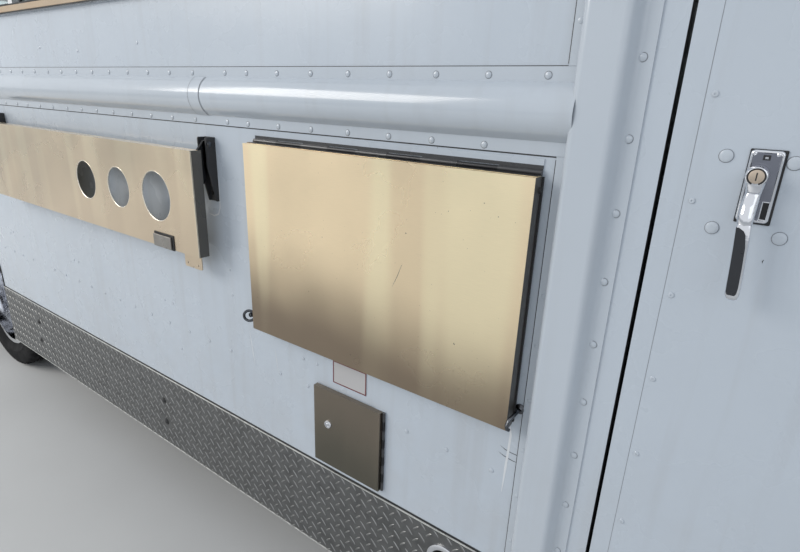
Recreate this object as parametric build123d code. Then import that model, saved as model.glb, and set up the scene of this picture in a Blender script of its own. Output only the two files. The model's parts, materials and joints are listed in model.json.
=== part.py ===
from build123d import *
import os
from math import atan2, cos, radians, sin

os.makedirs("parts", exist_ok=True)

# A step-van food truck at full size, in millimetres.
# X runs forward, Y to the vehicle's left and Z up. The serving side is at -Y.
# The origin is on the ground, under the middle of the vehicle.

# Body
HALF_WIDTH = 1180
WALL = 40
EDGE_RADIUS = 100
REAR_X = -3720
CAB_X = 1451
ROOF_Z = 2900
ROOF_SEAM_Z = ROOF_Z - 200
SKIRT_TOP = 645
SKIRT_BOTTOM = 345

# Nose and windshield, as seen from the side
NOSE_FOOT_X = 3620
NOSE_FOOT_Z = 405
NOSE_TOP_X = 3580
NOSE_TOP_Z = 1290
SCREEN_FOOT_X = 3270
SCREEN_FOOT_Z = 1570
SCREEN_TOP_X = 2960
SCREEN_TOP_Z = ROOF_Z - 280
ROOF_FRONT_X = 2720
NOSE_RADIUS = 130
SCREEN_FOOT_RADIUS = 150
SCREEN_TOP_RADIUS = 320
ROOF_FRONT_RADIUS = 260
ROOF_REAR_RADIUS = 130

# Clearances
DOOR_GAP = 7
RUNNING = 0.3
FITTING_ROOM = 6

# Wheels and axles
FRONT_AXLE_X = 2980
REAR_AXLE_X = -1850
TYRE_RADIUS = 400
TYRE_WIDTH = 224
BEAD_RADIUS = 248
BEAD_WIDTH = 172
RIM_LIP = 9
RIM_LIP_RADIUS = 262
RIM_SHEET = 10
DUAL_SPACING = 262
OUTER_TYRE_INSET = 95
DISC_DISH = 62
HUB_RADIUS = 108
HUB_CAP_RADIUS = 62
DRUM_RADIUS = 185
DRUM_WIDTH = 110
HAND_HOLES = 8
HAND_HOLE_RADIUS = 21
HAND_HOLE_CIRCLE = 172
FRONT_SPINDLE_RADIUS = 34
REAR_SPINDLE_RADIUS = 42
KINGPIN_INSET = 112
KINGPIN_RADIUS = 20
STEER_ARM = 170
TIE_ROD_RADIUS = 12

# Wheel arches and wheel houses
ARCH_HALF = 465
ARCH_TOP = 870
ARCH_RADIUS = 150
HOUSE_TOP = 884
FRONT_HOUSE_INNER_Y = 560
REAR_HOUSE_INNER_Y = 582
HOUSE_SHEET = 6

# Chassis
RAIL_HALF = 430
RAIL_TOP = 700
RAIL_HEIGHT = 200
RAIL_FLANGE = 76
RAIL_SHEET = 8
RAIL_REAR_X = -3640
RAIL_FRONT_X = 3520
FLOOR_TOP = 780
FLOOR_THICK = 36
SILL_WIDTH = 60

# Cab doors: the leaf's edges, the same on both sides
DOOR_REAR_X = 1622
DOOR_FRONT_X = 2380
DOOR_BOTTOM = 440
DOOR_TOP = 2480
DOOR_CORNER = 50
DOOR_WINDOW_REAR_X = 1735
DOOR_WINDOW_FRONT_X = 2285
DOOR_WINDOW_SILL = 1880
DOOR_WINDOW_TOP = 2390
WINDOW_CORNER = 60
GLASS = 6

# Rear door: its leaf's edges
REAR_DOOR_HALF = 390
REAR_DOOR_BOTTOM = 786
REAR_DOOR_TOP = ROOF_SEAM_Z - 140
REAR_WINDOW_HALF = 250
REAR_WINDOW_SILL = 1780
REAR_WINDOW_TOP = 2300

# Hinges
HINGE_RADIUS = 8
HINGE_LEAF = 42
HINGE_SHEET = 4
HINGE_LENGTH = 96

# Belt rail, post cover and skirt
BELT_TOP = 1710
BELT_BULGE_TOP = 1686
BELT_BULGE_BOTTOM = 1589
BELT_BOTTOM = 1566
BELT_DEPTH = 32
FLANGE = 3
POST_BULGE_REAR_X = 1469
POST_BULGE_FRONT_X = 1540
POST_SLOPE_FOOT_X = 1556
POST_FRONT_X = 1578
POST_DEPTH = 28
SEAM = 0.5
SKIRT_SHEET = 5
SKIRT_RETURN = 34
SKIRT_PROUD = 4

# Serving window: the frame's outer edges
SERVING_REAR_X = -1180
SERVING_FRONT_X = 1020
SERVING_BOTTOM = 1897
SERVING_TOP = ROOF_SEAM_Z - 80
SERVING_FACE = 28
SERVING_LIP = 10
SERVING_PROUD = 16
SERVING_PANES = 4
MULLION = 34

# Folding shelf without holes
SHELF_REAR_X = 665
SHELF_FRONT_X = 1433
SHELF_BOTTOM = 1025
SHELF_TOP = 1531
SHELF_FACE = 40
SHELF_DEPTH = 30
SHEET = 3

# Folding shelf with cup holes, carried by two wall brackets
CUPS_REAR_X = -960
CUPS_FRONT_X = 490
CUPS_BOTTOM = 1201
CUPS_TOP = 1499
CUPS_FACE = 74
CUPS_DEPTH = 33
BRACKET_BOTTOM = 1356
BRACKET_TOP = 1532
BRACKET_WIDTH = 38
BRACKET_DEPTH = 30
BRACKET_INSET = 5
CUPS_PIVOT_Z = 1514
CUPS_PIVOT_OUT = 20
CUPS_PIN_RADIUS = 4
ARM_SHEET = 8

# Fuel door
FUEL_REAR_X = 873
FUEL_FRONT_X = 1098
FUEL_BOTTOM = 675
FUEL_TOP = 911
FUEL_FACE = 16
FUEL_HINGE_RADIUS = 4

# Round inlet in the serving side's skirt
INLET_X = 1300
INLET_Z = 560
INLET_RADIUS = 34
INLET_RIM = 14
INLET_DEPTH = 46

# Windshield panes
SCREEN_CENTRE_POST = 30
SCREEN_SIDE = 1040
SCREEN_BOTTOM_Z = 1690
SCREEN_HEAD_Z = SCREEN_TOP_Z - 100
GLASS_INSET = 15

# Hood, grille and headlamps
HOOD_HALF = 700
HOOD_FRONT_Z = 1210
HOOD_REAR_X = 3335
HOOD_SHEET_INSET = 26
HOOD_HINGE_RADIUS = 6
HOOD_HINGE_Y = (-460, 540)
GRILLE_HALF = 520
GRILLE_BOTTOM = 720
GRILLE_TOP = 1130
GRILLE_SLATS = 9
GRILLE_SLAT = 22
GRILLE_INSET = 4
GRILLE_BACK_INSET = 34
HEADLAMP_Y = 800
HEADLAMP_Z = 940
HEADLAMP_RADIUS = 89
INDICATOR_RADIUS = 42
INDICATOR_Z = 1130

# Door handle
HANDLE_REAR_X = 1726
HANDLE_FRONT_X = 1767
HANDLE_BOTTOM = 1497
HANDLE_TOP = 1600
HANDLE_PLATE = 9
HANDLE_LOCK_X = 1742
HANDLE_LOCK_Z = 1562
HANDLE_LOCK_RADIUS = 13
HANDLE_LOCK_OUT = 34
LEVER_END_X = 1747
LEVER_END_Z = 1389

# Piano hinge of the shelf without holes
SHELF_HINGE_RADIUS = 5
SHELF_HINGE_KNUCKLES = 9
SHELF_HINGE_LEAF = 24
SHELF_HINGE_SHEET = 2

# Cup holes: X and radius of each
CUP_HOLES = ((-122, 64), (87, 64), (299, 74))
CUP_HOLE_Z = 1353

# Engine, gearbox and drive shaft
ENGINE_REAR_X = 2560
ENGINE_FRONT_X = 3380
ENGINE_HALF = 300
ENGINE_BOTTOM = 560
ENGINE_TOP = 1180
GEARBOX_REAR_X = 1900
SHAFT_RADIUS = 45

# Small values of the doors, shelves and brackets
BRACKET_CHEEK = 4
ARM_EYE = 10
ARM_SET_BACK = 20
FUEL_BACK = 2.5
FUEL_SKIN = 8
FUEL_HINGE_LEAF = 30
FUEL_HINGE_KNUCKLES = 9
FUEL_HINGE_SHEET = 2
FILLER_MARGIN = 34
POCKET_DEPTH = 74
POCKET_SHEET = 5
NECK_RADIUS = 24

# Chassis members, springs and axles
MEMBER_HEIGHT = 60
MEMBER_WIDTH = 60
GEARBOX_HALF = 130
GEARBOX_BOTTOM = 530
GEARBOX_TOP = 690
SHAFT_HEAD_Z = 590
DIFF_RADIUS = 175
DIFF_NOSE = 60
DIFF_NOSE_RADIUS = 60
AXLE_TUBE_RADIUS = 62
SPINDLE_SHORT = 60
HUB_BACK = 70
HUB_FRONT = 100
SPRING_Y = 520
SPRING_WIDTH = 76
SPRING_LEAF = 14
SPRING_LEAVES = 3
SPRING_EYE = 24
FRONT_SPRING_HALF = 480
FRONT_SPRING_RISE = 60
REAR_SPRING_HALF = 700
REAR_SPRING_RISE = 90
HANGER_HALF = 60
HANGER_SHEET = 8
HANGER_DROP = 20
BEAM_BOTTOM = 290
BEAM_HEIGHT = 85
BEAM_WIDTH = 62
BEAM_DROP_Y = 640
BEAM_END_HALF = 38
BEAM_END_LENGTH = 70
BEAM_EYE = 38
EYE_HALF = 45
YOKE_HALF = 40
YOKE_BACK = 60
YOKE_EAR = 28
TIE_PIN_RADIUS = 8
TIE_EYE_HEIGHT = 28
OPEN_PIVOT_SLACK = 1.5
DISC_FLAT = 130
FRONT_DRUM_INNER = -45

# Floor
FIREWALL_X = 3190
FIREWALL_TOP = 1500
SILLS = (-3500, -2900, -2400, -1300, -700, -100, 500, 1200, 2450)
WELL_INNER_Y = 800
TUNNEL_ROOM = 40
COVER_SHEET = 12

# Cab fittings
DASH_DEPTH = 240
COLUMN_RAKE = 38
COLUMN_LENGTH = 330
COLUMN_RADIUS = 26
STEERING_X = 2730
STEERING_Y = 620
STEERING_Z = 1560
STEERING_RADIUS = 210
GRIP_RADIUS = 13
SPOKES = 3
WHEEL_HUB = 40
SEAT_REAR_X = 2060
SEAT_LENGTH = 440
SEAT_Y = 620
SEAT_WIDTH = 460
SEAT_Z = 1130
SEAT_PAD = 110
SEAT_BACK = 640

# Kitchen
BENCH_SHEET = 6
BENCH_TOP = 30
BENCH_TOP_Z = 1690
BENCH_SHELF_Z = 1280
BENCH_DEPTH = 560
COOK_DEPTH = 620
LEG_INSET = 40
BENCH_CURB_X = (-2250, 1250)
BENCH_STREET_X = (-2700, 1250)
GRIDDLE_X = (-700, 100)
GRIDDLE_HEIGHT = 190
COLD_X = (-3600, -2760)
COLD_TOP = 2480
RANGE_HOOD_X = (-1000, 400)
RANGE_HOOD_Z = (ROOF_Z - 670, ROOF_Z - 260)
HOOD_DEPTH = 720
HOOD_TOP_DEPTH = 420
DUCT_RADIUS = 110
FAN_X = -300
FAN_Y = 860

# Tanks and exhaust
TANK_BOTTOM = 400
TANK_TOP = 680
TANK_OUTER_Y = HALF_WIDTH - 60
TANK_INNER_Y = 500
TANK_CORNER = 50
TANK_BRACKET_INSET = 120
TANK_BRACKET_HALF = 25
FUEL_TANK_X = (560, 1380)
WATER_TANK_X = (-1060, -60)
PIPE_RADIUS = 28
PIPE_BEND = 80
SILENCER_RADIUS = 85
SILENCER_Y = 640
SILENCER_Z = 560
SILENCER_X = (560, 1250)

# Lamps, plate holes, bumpers and mirrors
TAIL_LAMP_Y = 1010
TAIL_LAMP_Z = (900, 1030, 1160)
TAIL_LAMP_RADIUS = 50
LENS_EDGE = 3
PLATE_Y = -720
PLATE_Z = 860
PLATE_PITCH = 178
PLATE_HOLE = 3.5
BUMPER_HALF = 1170
BUMPER_SHEET = 8
BUMPER_LOW = 400
BUMPER_HIGH = 600
BUMPER_BRACKET_DROP = 10
BUMPER_FRONT_X = 3800
BUMPER_WRAP = 130
BUMPER_CORNER = 110
STEP_LOW = 440
STEP_HIGH = 600
STEP_HALF = 1130
HITCH_X = -3762
HITCH_RADIUS = 13
MIRROR_X = 2440
MIRROR_DEPTH = 44
MIRROR_REACH = 260
MIRROR_WIDTH = 190
MIRROR_HEAD_Z = (1780, 2190)
MIRROR_FEET_Z = (1610, 2335)
MIRROR_FOOT_X = 2428
MIRROR_ARM = 10


def box(x, y, z):
    """A block between the low and high values on each axis."""
    size = [high - low for low, high in (x, y, z)]
    centre = [(high + low) / 2 for low, high in (x, y, z)]
    return Pos(*centre) * Box(*size)


def outline(rows):
    """A closed face from rows of (across, up, corner radius)."""
    points = [(across, up) for across, up, _ in rows]
    return make_face(FilletPolyline(*points, radius=[row[2] for row in rows], close=True))


def rounded(across, up, radius):
    """A rectangle with rounded corners between the low and high values."""
    rows = [(a, u, radius) for a, u in (
        (across[0], up[0]), (across[1], up[0]), (across[1], up[1]), (across[0], up[1]))]
    return outline(rows)


def across_body(face, y):
    """A face drawn in X and Z, drawn out along Y."""
    return Plane.XZ.offset(-y[1]) * extrude(face, amount=y[1] - y[0])


def along_body(face, x):
    """A face drawn in Y and Z, drawn out along X."""
    return Plane.YZ.offset(x[0]) * extrude(face, amount=x[1] - x[0])


def upward(face, z):
    """A face drawn in X and Y, drawn out along Z."""
    return Pos(0, 0, z[0]) * extrude(face, amount=z[1] - z[0])


def rod(start, end, radius):
    """A round bar from one point to another."""
    run = Vector(*end) - Vector(*start)
    return Plane(origin=start, z_dir=run) * Pos(0, 0, run.length / 2) * Cylinder(radius, run.length)


def flipped(shape):
    """The same shape on the other side of the vehicle."""
    return mirror(shape, about=Plane.XZ)


def save(node, *shapes):
    """Writes a node's solids to its own STEP file."""
    solids = [solid for shape in shapes for solid in shape.solids()]
    export_step(solids[0] if len(solids) == 1 else Compound(solids), f"parts/{node}.step")


def hinge(length, radius, leaf, knuckles, sheet):
    """A butt hinge standing along Z: the fixed half towards +X and the moving half towards -X.

    The surfaces that it lies on are at Y = radius, and its knuckles run on the Z axis.
    """
    halves = []
    pitch = length / knuckles
    for first, side in ((0, 1), (1, -1)):
        near, far = sorted((side * (radius + 1), side * leaf))
        half = box((near, far), (radius - sheet, radius), (0, length))
        for knuckle in range(first, knuckles, 2):
            low = knuckle * pitch + RUNNING / 2
            high = (knuckle + 1) * pitch - RUNNING / 2
            half += Pos(0, 0, (low + high) / 2) * Cylinder(radius, high - low)
            tongue = sorted((0, side * (radius + 2)))
            half += box(tongue, (radius - sheet, radius), (low, high))
        halves.append(half)
    return halves


# Body shell

# Side view of the body, rear to front over the bottom, then back over the roof: X, Z, corner radius
BODY_OUTLINE = (
    (REAR_X, SKIRT_TOP, 0),
    (CAB_X, SKIRT_TOP, 0),
    (CAB_X, SKIRT_BOTTOM, 0),
    (NOSE_FOOT_X, NOSE_FOOT_Z, 0),
    (NOSE_TOP_X, NOSE_TOP_Z, NOSE_RADIUS),
    (SCREEN_FOOT_X, SCREEN_FOOT_Z, SCREEN_FOOT_RADIUS),
    (SCREEN_TOP_X, SCREEN_TOP_Z, SCREEN_TOP_RADIUS),
    (ROOF_FRONT_X, ROOF_Z, ROOF_FRONT_RADIUS),
    (REAR_X, ROOF_Z, ROOF_REAR_RADIUS),
)


def body_volume(inset):
    """Everything inside the body's skin, moved in by the inset, with its long edges rounded."""
    face = outline(BODY_OUTLINE)
    if inset:
        face = offset(face, amount=-inset, kind=Kind.INTERSECTION)
    half = HALF_WIDTH - inset
    volume = across_body(face, (-half, half))
    edges = [edge for edge in volume.edges()
             if abs(abs(edge.center().Y) - half) < 0.01 and edge.center().Z > SKIRT_TOP + inset + 10]
    return fillet(edges, EDGE_RADIUS - inset)


def layer(skin, outer, inner):
    """The part of the body's thickness between two insets."""
    return skin[outer] - skin[inner]


skin = {inset: body_volume(inset) for inset in (
    0, GRILLE_INSET, GLASS_INSET, GLASS_INSET + GLASS, HOOD_SHEET_INSET, GRILLE_BACK_INSET, WALL)}
shell = layer(skin, 0, WALL)
inside_half = HALF_WIDTH - WALL
shell -= box((REAR_X + WALL, CAB_X + 2 * WALL), (-inside_half, inside_half), (0, SKIRT_TOP + 2 * WALL))
shell -= box((CAB_X - 1, NOSE_FOOT_X - 2 * WALL), (-inside_half, inside_half), (0, SKIRT_TOP))


def side_opening(x, z, radius):
    """A rounded opening cut through both side walls."""
    face = rounded(x, z, radius)
    return across_body(face, (-HALF_WIDTH - WALL, -inside_half + WALL)) + across_body(
        face, (inside_half - WALL, HALF_WIDTH + WALL))


for axle_x in (FRONT_AXLE_X, REAR_AXLE_X):
    shell -= side_opening((axle_x - ARCH_HALF, axle_x + ARCH_HALF), (0, ARCH_TOP), ARCH_RADIUS)
shell -= side_opening((DOOR_REAR_X - DOOR_GAP, DOOR_FRONT_X + DOOR_GAP),
                      (DOOR_BOTTOM - DOOR_GAP, DOOR_TOP + DOOR_GAP), DOOR_CORNER + DOOR_GAP)

# Quarter window ahead of each cab door: X, Z, corner radius
QUARTER_OUTLINE = (
    (2470, 1700, 45),
    (3110, 1700, 45),
    (2935, SCREEN_TOP_Z - 230, 45),
    (2470, SCREEN_TOP_Z - 230, 45),
)
quarter = across_body(outline(QUARTER_OUTLINE), (-HALF_WIDTH - WALL, HALF_WIDTH + WALL))
shell -= quarter - box((0, NOSE_TOP_X), (-inside_half + WALL, inside_half - WALL), (0, ROOF_Z))

# Windshield, two panes, as seen from the front
screen = along_body(
    rounded((SCREEN_CENTRE_POST, SCREEN_SIDE), (SCREEN_BOTTOM_Z, SCREEN_HEAD_Z), WINDOW_CORNER)
    + rounded((-SCREEN_SIDE, -SCREEN_CENTRE_POST), (SCREEN_BOTTOM_Z, SCREEN_HEAD_Z), WINDOW_CORNER),
    (SCREEN_TOP_X - 200, NOSE_TOP_X))
shell -= screen


# Hood, grille and headlamp openings in the nose
def hood_region(gap):
    return box((HOOD_REAR_X - gap, NOSE_FOOT_X + WALL), (-HOOD_HALF - gap, HOOD_HALF + gap),
               (HOOD_FRONT_Z - gap, ROOF_Z))


grille_region = box((NOSE_TOP_X - 2 * WALL, NOSE_FOOT_X + WALL), (-GRILLE_HALF, GRILLE_HALF),
                    (GRILLE_BOTTOM, GRILLE_TOP))
shell -= hood_region(DOOR_GAP)
shell -= grille_region
lamp_places = [(side * HEADLAMP_Y, HEADLAMP_Z, HEADLAMP_RADIUS) for side in (-1, 1)]
lamp_places += [(side * HEADLAMP_Y, INDICATOR_Z, INDICATOR_RADIUS) for side in (-1, 1)]
for y, z, radius in lamp_places:
    shell -= Pos(NOSE_FOOT_X - WALL, y, z) * Rot(0, 90, 0) * Cylinder(radius + RUNNING, 4 * WALL)

# Holes in the nose for the front bumper's two brackets
bracket_y = (RAIL_HALF - RAIL_FLANGE, RAIL_HALF - RAIL_SHEET)
bracket_z = (RAIL_TOP - RAIL_HEIGHT, BUMPER_HIGH - BUMPER_BRACKET_DROP)


def grown(span, amount):
    """A pair of low and high values, moved apart by the amount at each end."""
    return span[0] - amount, span[1] + amount


bracket_hole = box((NOSE_TOP_X - 2 * WALL, NOSE_FOOT_X + WALL), grown(bracket_y, FITTING_ROOM),
                   grown(bracket_z, FITTING_ROOM))
shell -= bracket_hole
shell -= flipped(bracket_hole)

# Rear door opening
rear_door_opening = along_body(
    rounded((-REAR_DOOR_HALF - DOOR_GAP, REAR_DOOR_HALF + DOOR_GAP),
            (REAR_DOOR_BOTTOM - DOOR_GAP, REAR_DOOR_TOP + DOOR_GAP), DOOR_CORNER + DOOR_GAP),
    (REAR_X - WALL, REAR_X + 2 * WALL))
shell -= rear_door_opening

# Serving window opening and the fuel filler's pocket
serving_opening = box((SERVING_REAR_X + SERVING_LIP, SERVING_FRONT_X - SERVING_LIP),
                      (-HALF_WIDTH - WALL, -inside_half + WALL),
                      (SERVING_BOTTOM + SERVING_LIP, SERVING_TOP - SERVING_LIP))
shell -= serving_opening
shell -= box((FUEL_REAR_X + FILLER_MARGIN, FUEL_FRONT_X - FILLER_MARGIN),
             (-HALF_WIDTH - WALL, -inside_half + WALL),
             (FUEL_BOTTOM + FILLER_MARGIN, FUEL_TOP - FILLER_MARGIN))

# Panels
wall_rear_x = REAR_X + EDGE_RADIUS
roof_shell = shell & box((REAR_X, NOSE_FOOT_X), (-HALF_WIDTH, HALF_WIDTH), (ROOF_SEAM_Z, ROOF_Z))
front_cowl = shell & box((CAB_X, NOSE_FOOT_X), (-HALF_WIDTH, HALF_WIDTH), (0, ROOF_SEAM_Z))
rear_wall = shell & box((REAR_X, wall_rear_x), (-HALF_WIDTH, HALF_WIDTH), (0, ROOF_SEAM_Z))
wall_curb = shell & box((wall_rear_x, CAB_X), (-HALF_WIDTH, 0), (0, ROOF_SEAM_Z))
wall_street = shell & box((wall_rear_x, CAB_X), (0, HALF_WIDTH), (0, ROOF_SEAM_Z))

# Glass that is fixed to the body: windshield, quarter windows and serving window
glass_layer = layer(skin, GLASS_INSET, GLASS_INSET + GLASS)
serving_inner_x = (SERVING_REAR_X + SERVING_FACE, SERVING_FRONT_X - SERVING_FACE)
serving_inner_z = (SERVING_BOTTOM + SERVING_FACE, SERVING_TOP - SERVING_FACE)
pane_pitch = (serving_inner_x[1] - serving_inner_x[0] + MULLION) / SERVING_PANES
serving_glass = []
serving_frame = box((SERVING_REAR_X, SERVING_FRONT_X), (-HALF_WIDTH - SERVING_PROUD, -HALF_WIDTH),
                    (SERVING_BOTTOM, SERVING_TOP))
serving_frame += box((SERVING_REAR_X + SERVING_LIP, SERVING_FRONT_X - SERVING_LIP),
                     (-HALF_WIDTH, -inside_half),
                     (SERVING_BOTTOM + SERVING_LIP, SERVING_TOP - SERVING_LIP))
for pane in range(SERVING_PANES):
    low = serving_inner_x[0] + pane * pane_pitch
    pane_x = (low, low + pane_pitch - MULLION)
    serving_frame -= box(pane_x, (-HALF_WIDTH - WALL, 0), serving_inner_z)
    pane_out = -HALF_WIDTH + (2 if pane in (0, SERVING_PANES - 1) else 16)
    serving_glass.append(box(pane_x, (pane_out, pane_out + GLASS), serving_inner_z))


# Doors
def cab_door():
    """The curb door's leaf with its moving hinge halves, its pane and the body's hinge halves."""
    out = -HALF_WIDTH
    leaf = across_body(rounded((DOOR_REAR_X, DOOR_FRONT_X), (DOOR_BOTTOM, DOOR_TOP), DOOR_CORNER),
                       (out, out + WALL))
    window = rounded((DOOR_WINDOW_REAR_X, DOOR_WINDOW_FRONT_X),
                     (DOOR_WINDOW_SILL, DOOR_WINDOW_TOP), WINDOW_CORNER)
    leaf -= across_body(window, (out - WALL, out + 2 * WALL))
    pane = across_body(window, (out + GLASS_INSET, out + GLASS_INSET + GLASS))
    fixed, moving = hinge(HINGE_LENGTH, HINGE_RADIUS, HINGE_LEAF, 3, HINGE_SHEET)
    body_halves = []
    for height in (0.09, 0.5, 0.88):
        low = DOOR_BOTTOM + height * (DOOR_TOP - DOOR_BOTTOM) - HINGE_LENGTH / 2
        place = Pos(DOOR_FRONT_X + DOOR_GAP / 2, out - HINGE_RADIUS, low)
        leaf += place * moving
        body_halves.append(place * fixed)
    return leaf, pane, body_halves


cab_leaf, cab_pane, cab_hinges = cab_door()
for half in cab_hinges:
    front_cowl += half
    front_cowl += flipped(half)

rear_leaf = along_body(
    rounded((-REAR_DOOR_HALF, REAR_DOOR_HALF), (REAR_DOOR_BOTTOM, REAR_DOOR_TOP), DOOR_CORNER),
    (REAR_X, REAR_X + WALL))
rear_window = rounded((-REAR_WINDOW_HALF, REAR_WINDOW_HALF),
                      (REAR_WINDOW_SILL, REAR_WINDOW_TOP), WINDOW_CORNER)
rear_leaf -= along_body(rear_window, (REAR_X - WALL, REAR_X + 2 * WALL))
rear_pane = along_body(rear_window, (REAR_X + GLASS_INSET, REAR_X + GLASS_INSET + GLASS))
fixed_half, moving_half = hinge(HINGE_LENGTH, HINGE_RADIUS, HINGE_LEAF, 3, HINGE_SHEET)
for height in (0.1, 0.5, 0.9):
    low = REAR_DOOR_BOTTOM + height * (REAR_DOOR_TOP - REAR_DOOR_BOTTOM) - HINGE_LENGTH / 2
    place = Pos(REAR_X - HINGE_RADIUS, REAR_DOOR_HALF + DOOR_GAP / 2, low) * Rot(0, 0, -90)
    rear_leaf += place * flipped(Rot(0, 0, 180) * moving_half)
    rear_wall += place * flipped(Rot(0, 0, 180) * fixed_half)


# Door handles: a rounded plate with a boss, and a lever that tapers downwards
def door_handle():
    """The curb door's handle. Its plate lies on Y = -HALF_WIDTH."""
    out = -HALF_WIDTH
    handle = across_body(rounded((HANDLE_REAR_X, HANDLE_FRONT_X), (HANDLE_BOTTOM, HANDLE_TOP), 6),
                         (out - HANDLE_PLATE, out))
    boss = Pos(HANDLE_LOCK_X, out - HANDLE_LOCK_OUT / 2, HANDLE_LOCK_Z) * Rot(90, 0, 0)
    handle += boss * Cylinder(HANDLE_LOCK_RADIUS, HANDLE_LOCK_OUT)
    # Lever sections from the lock down to the tip: X, distance out, Z, width, thickness
    sections = (
        (HANDLE_LOCK_X, 23, HANDLE_LOCK_Z, 23, 16),
        (HANDLE_LOCK_X + 1, 34, HANDLE_LOCK_Z - 62, 21, 16),
        (LEVER_END_X, 44, LEVER_END_Z, 15, 12),
    )
    faces = [Pos(x, out - reach, z) * RectangleRounded(width, thick, thick * 0.4)
             for x, reach, z, width, thick in sections]
    return handle + loft(faces, ruled=True)


handle_curb = door_handle()
handle_to_rear = Pos(REAR_X + HALF_WIDTH, HANDLE_FRONT_X - REAR_DOOR_HALF + 30, 0) * Rot(0, 0, -90)
handle_rear = handle_to_rear * handle_curb

# Hood, carried by two hinges at its rear edge
hood_leaf = layer(skin, 0, HOOD_SHEET_INSET) & hood_region(0)
slope = atan2(SCREEN_FOOT_Z - NOSE_TOP_Z, NOSE_TOP_X - SCREEN_FOOT_X)
hood_edge_z = SCREEN_FOOT_Z - (HOOD_REAR_X - DOOR_GAP / 2 - SCREEN_FOOT_X) * (
    SCREEN_FOOT_Z - NOSE_TOP_Z) / (NOSE_TOP_X - SCREEN_FOOT_X)
HOOD_PIVOT = (HOOD_REAR_X - DOOR_GAP / 2 + HOOD_HINGE_RADIUS * sin(slope),
              hood_edge_z + HOOD_HINGE_RADIUS * cos(slope))

# Belt rails and post covers
belt_rows = Polyline(
    (-HALF_WIDTH, BELT_BOTTOM), (-HALF_WIDTH - FLANGE, BELT_BOTTOM),
    (-HALF_WIDTH - FLANGE, BELT_BULGE_BOTTOM))
belt_bulge = ThreePointArc(
    (-HALF_WIDTH - FLANGE, BELT_BULGE_BOTTOM),
    (-HALF_WIDTH - BELT_DEPTH, (BELT_BULGE_BOTTOM + BELT_BULGE_TOP) / 2),
    (-HALF_WIDTH - FLANGE, BELT_BULGE_TOP))
belt_top = Polyline(
    (-HALF_WIDTH - FLANGE, BELT_BULGE_TOP), (-HALF_WIDTH - FLANGE, BELT_TOP),
    (-HALF_WIDTH, BELT_TOP), (-HALF_WIDTH, BELT_BOTTOM))
belt_rail = along_body(make_face(belt_rows + belt_bulge + belt_top),
                       (wall_rear_x, POST_BULGE_REAR_X - SEAM))

# Post cover in plan: X, distance out of the wall, corner radius
POST_OUTLINE = (
    (CAB_X, 0, 0),
    (CAB_X, FLANGE, 0),
    (POST_BULGE_REAR_X, FLANGE, 0),
    (POST_BULGE_REAR_X, POST_DEPTH, 12),
    (POST_BULGE_FRONT_X, POST_DEPTH, 16),
    (POST_SLOPE_FOOT_X, FLANGE, 12),
    (POST_FRONT_X, FLANGE, 0),
    (POST_FRONT_X, 0, 0),
)
post_face = outline([(x, -HALF_WIDTH - out, radius) for x, out, radius in POST_OUTLINE])
post_cover = upward(post_face, (SKIRT_BOTTOM, ROOF_SEAM_Z))
post_cover -= box((CAB_X - 1, POST_BULGE_REAR_X), (-HALF_WIDTH - WALL, -HALF_WIDTH),
                  (BELT_BOTTOM - SEAM, BELT_TOP + SEAM))

# Skirts: a sheet with its top and bottom edges turned in, seen along X: distance in, Z
SKIRT_OUTLINE = (
    (-SKIRT_PROUD, SKIRT_BOTTOM, 4),
    (SKIRT_RETURN, SKIRT_BOTTOM, 0),
    (SKIRT_RETURN, SKIRT_BOTTOM + SKIRT_SHEET, 0),
    (SKIRT_SHEET - SKIRT_PROUD, SKIRT_BOTTOM + SKIRT_SHEET, 0),
    (SKIRT_SHEET - SKIRT_PROUD, SKIRT_TOP - SKIRT_SHEET, 0),
    (SKIRT_RETURN, SKIRT_TOP - SKIRT_SHEET, 0),
    (SKIRT_RETURN, SKIRT_TOP, 0),
    (-SKIRT_PROUD, SKIRT_TOP, 4),
)
skirt_face = outline([(-HALF_WIDTH + into, z, radius) for into, z, radius in SKIRT_OUTLINE])
skirt_front = along_body(skirt_face, (REAR_AXLE_X + ARCH_HALF, CAB_X))
skirt_rear = along_body(skirt_face, (REAR_X, REAR_AXLE_X - ARCH_HALF))
inlet_axis = Pos(INLET_X, -HALF_WIDTH, INLET_Z) * Rot(90, 0, 0)
inlet_tube = inlet_axis * Pos(0, 0, SKIRT_PROUD + 3 - INLET_DEPTH / 2) * Cylinder(
    INLET_RADIUS + 4, INLET_DEPTH)
inlet_tube += inlet_axis * Pos(0, 0, SKIRT_PROUD + 1.5) * Cylinder(INLET_RADIUS + INLET_RIM, 3)
inlet_bore = inlet_axis * Pos(0, 0, 5 + SKIRT_PROUD - (INLET_DEPTH - 6) / 2) * Cylinder(
    INLET_RADIUS, INLET_DEPTH - 6 + 4)
skirt_curb_front = skirt_front + inlet_tube - inlet_bore

# Folding shelf without holes: a folded sheet, open at the back, on a piano hinge
shelf_out = -HALF_WIDTH - SHELF_FACE
shelf_plain = box((SHELF_REAR_X, SHELF_FRONT_X), (shelf_out, shelf_out + SHELF_DEPTH),
                  (SHELF_BOTTOM, SHELF_TOP))
shelf_plain -= box((SHELF_REAR_X + SHEET, SHELF_FRONT_X - SHEET),
                   (shelf_out + SHEET, shelf_out + SHELF_DEPTH + 1),
                   (SHELF_BOTTOM + SHEET, SHELF_TOP - SHEET))
SHELF_PIVOT = (-HALF_WIDTH - SHELF_HINGE_RADIUS, SHELF_TOP + SHELF_HINGE_RADIUS)
piano_fixed, piano_moving = hinge(SHELF_FRONT_X - SHELF_REAR_X - 2 * SHEET, SHELF_HINGE_RADIUS,
                                  SHELF_HINGE_LEAF, SHELF_HINGE_KNUCKLES, SHELF_HINGE_SHEET)
piano_place = Pos(SHELF_FRONT_X - SHEET, *SHELF_PIVOT) * Rot(0, -90, 0)
wall_curb += piano_place * piano_fixed
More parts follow.
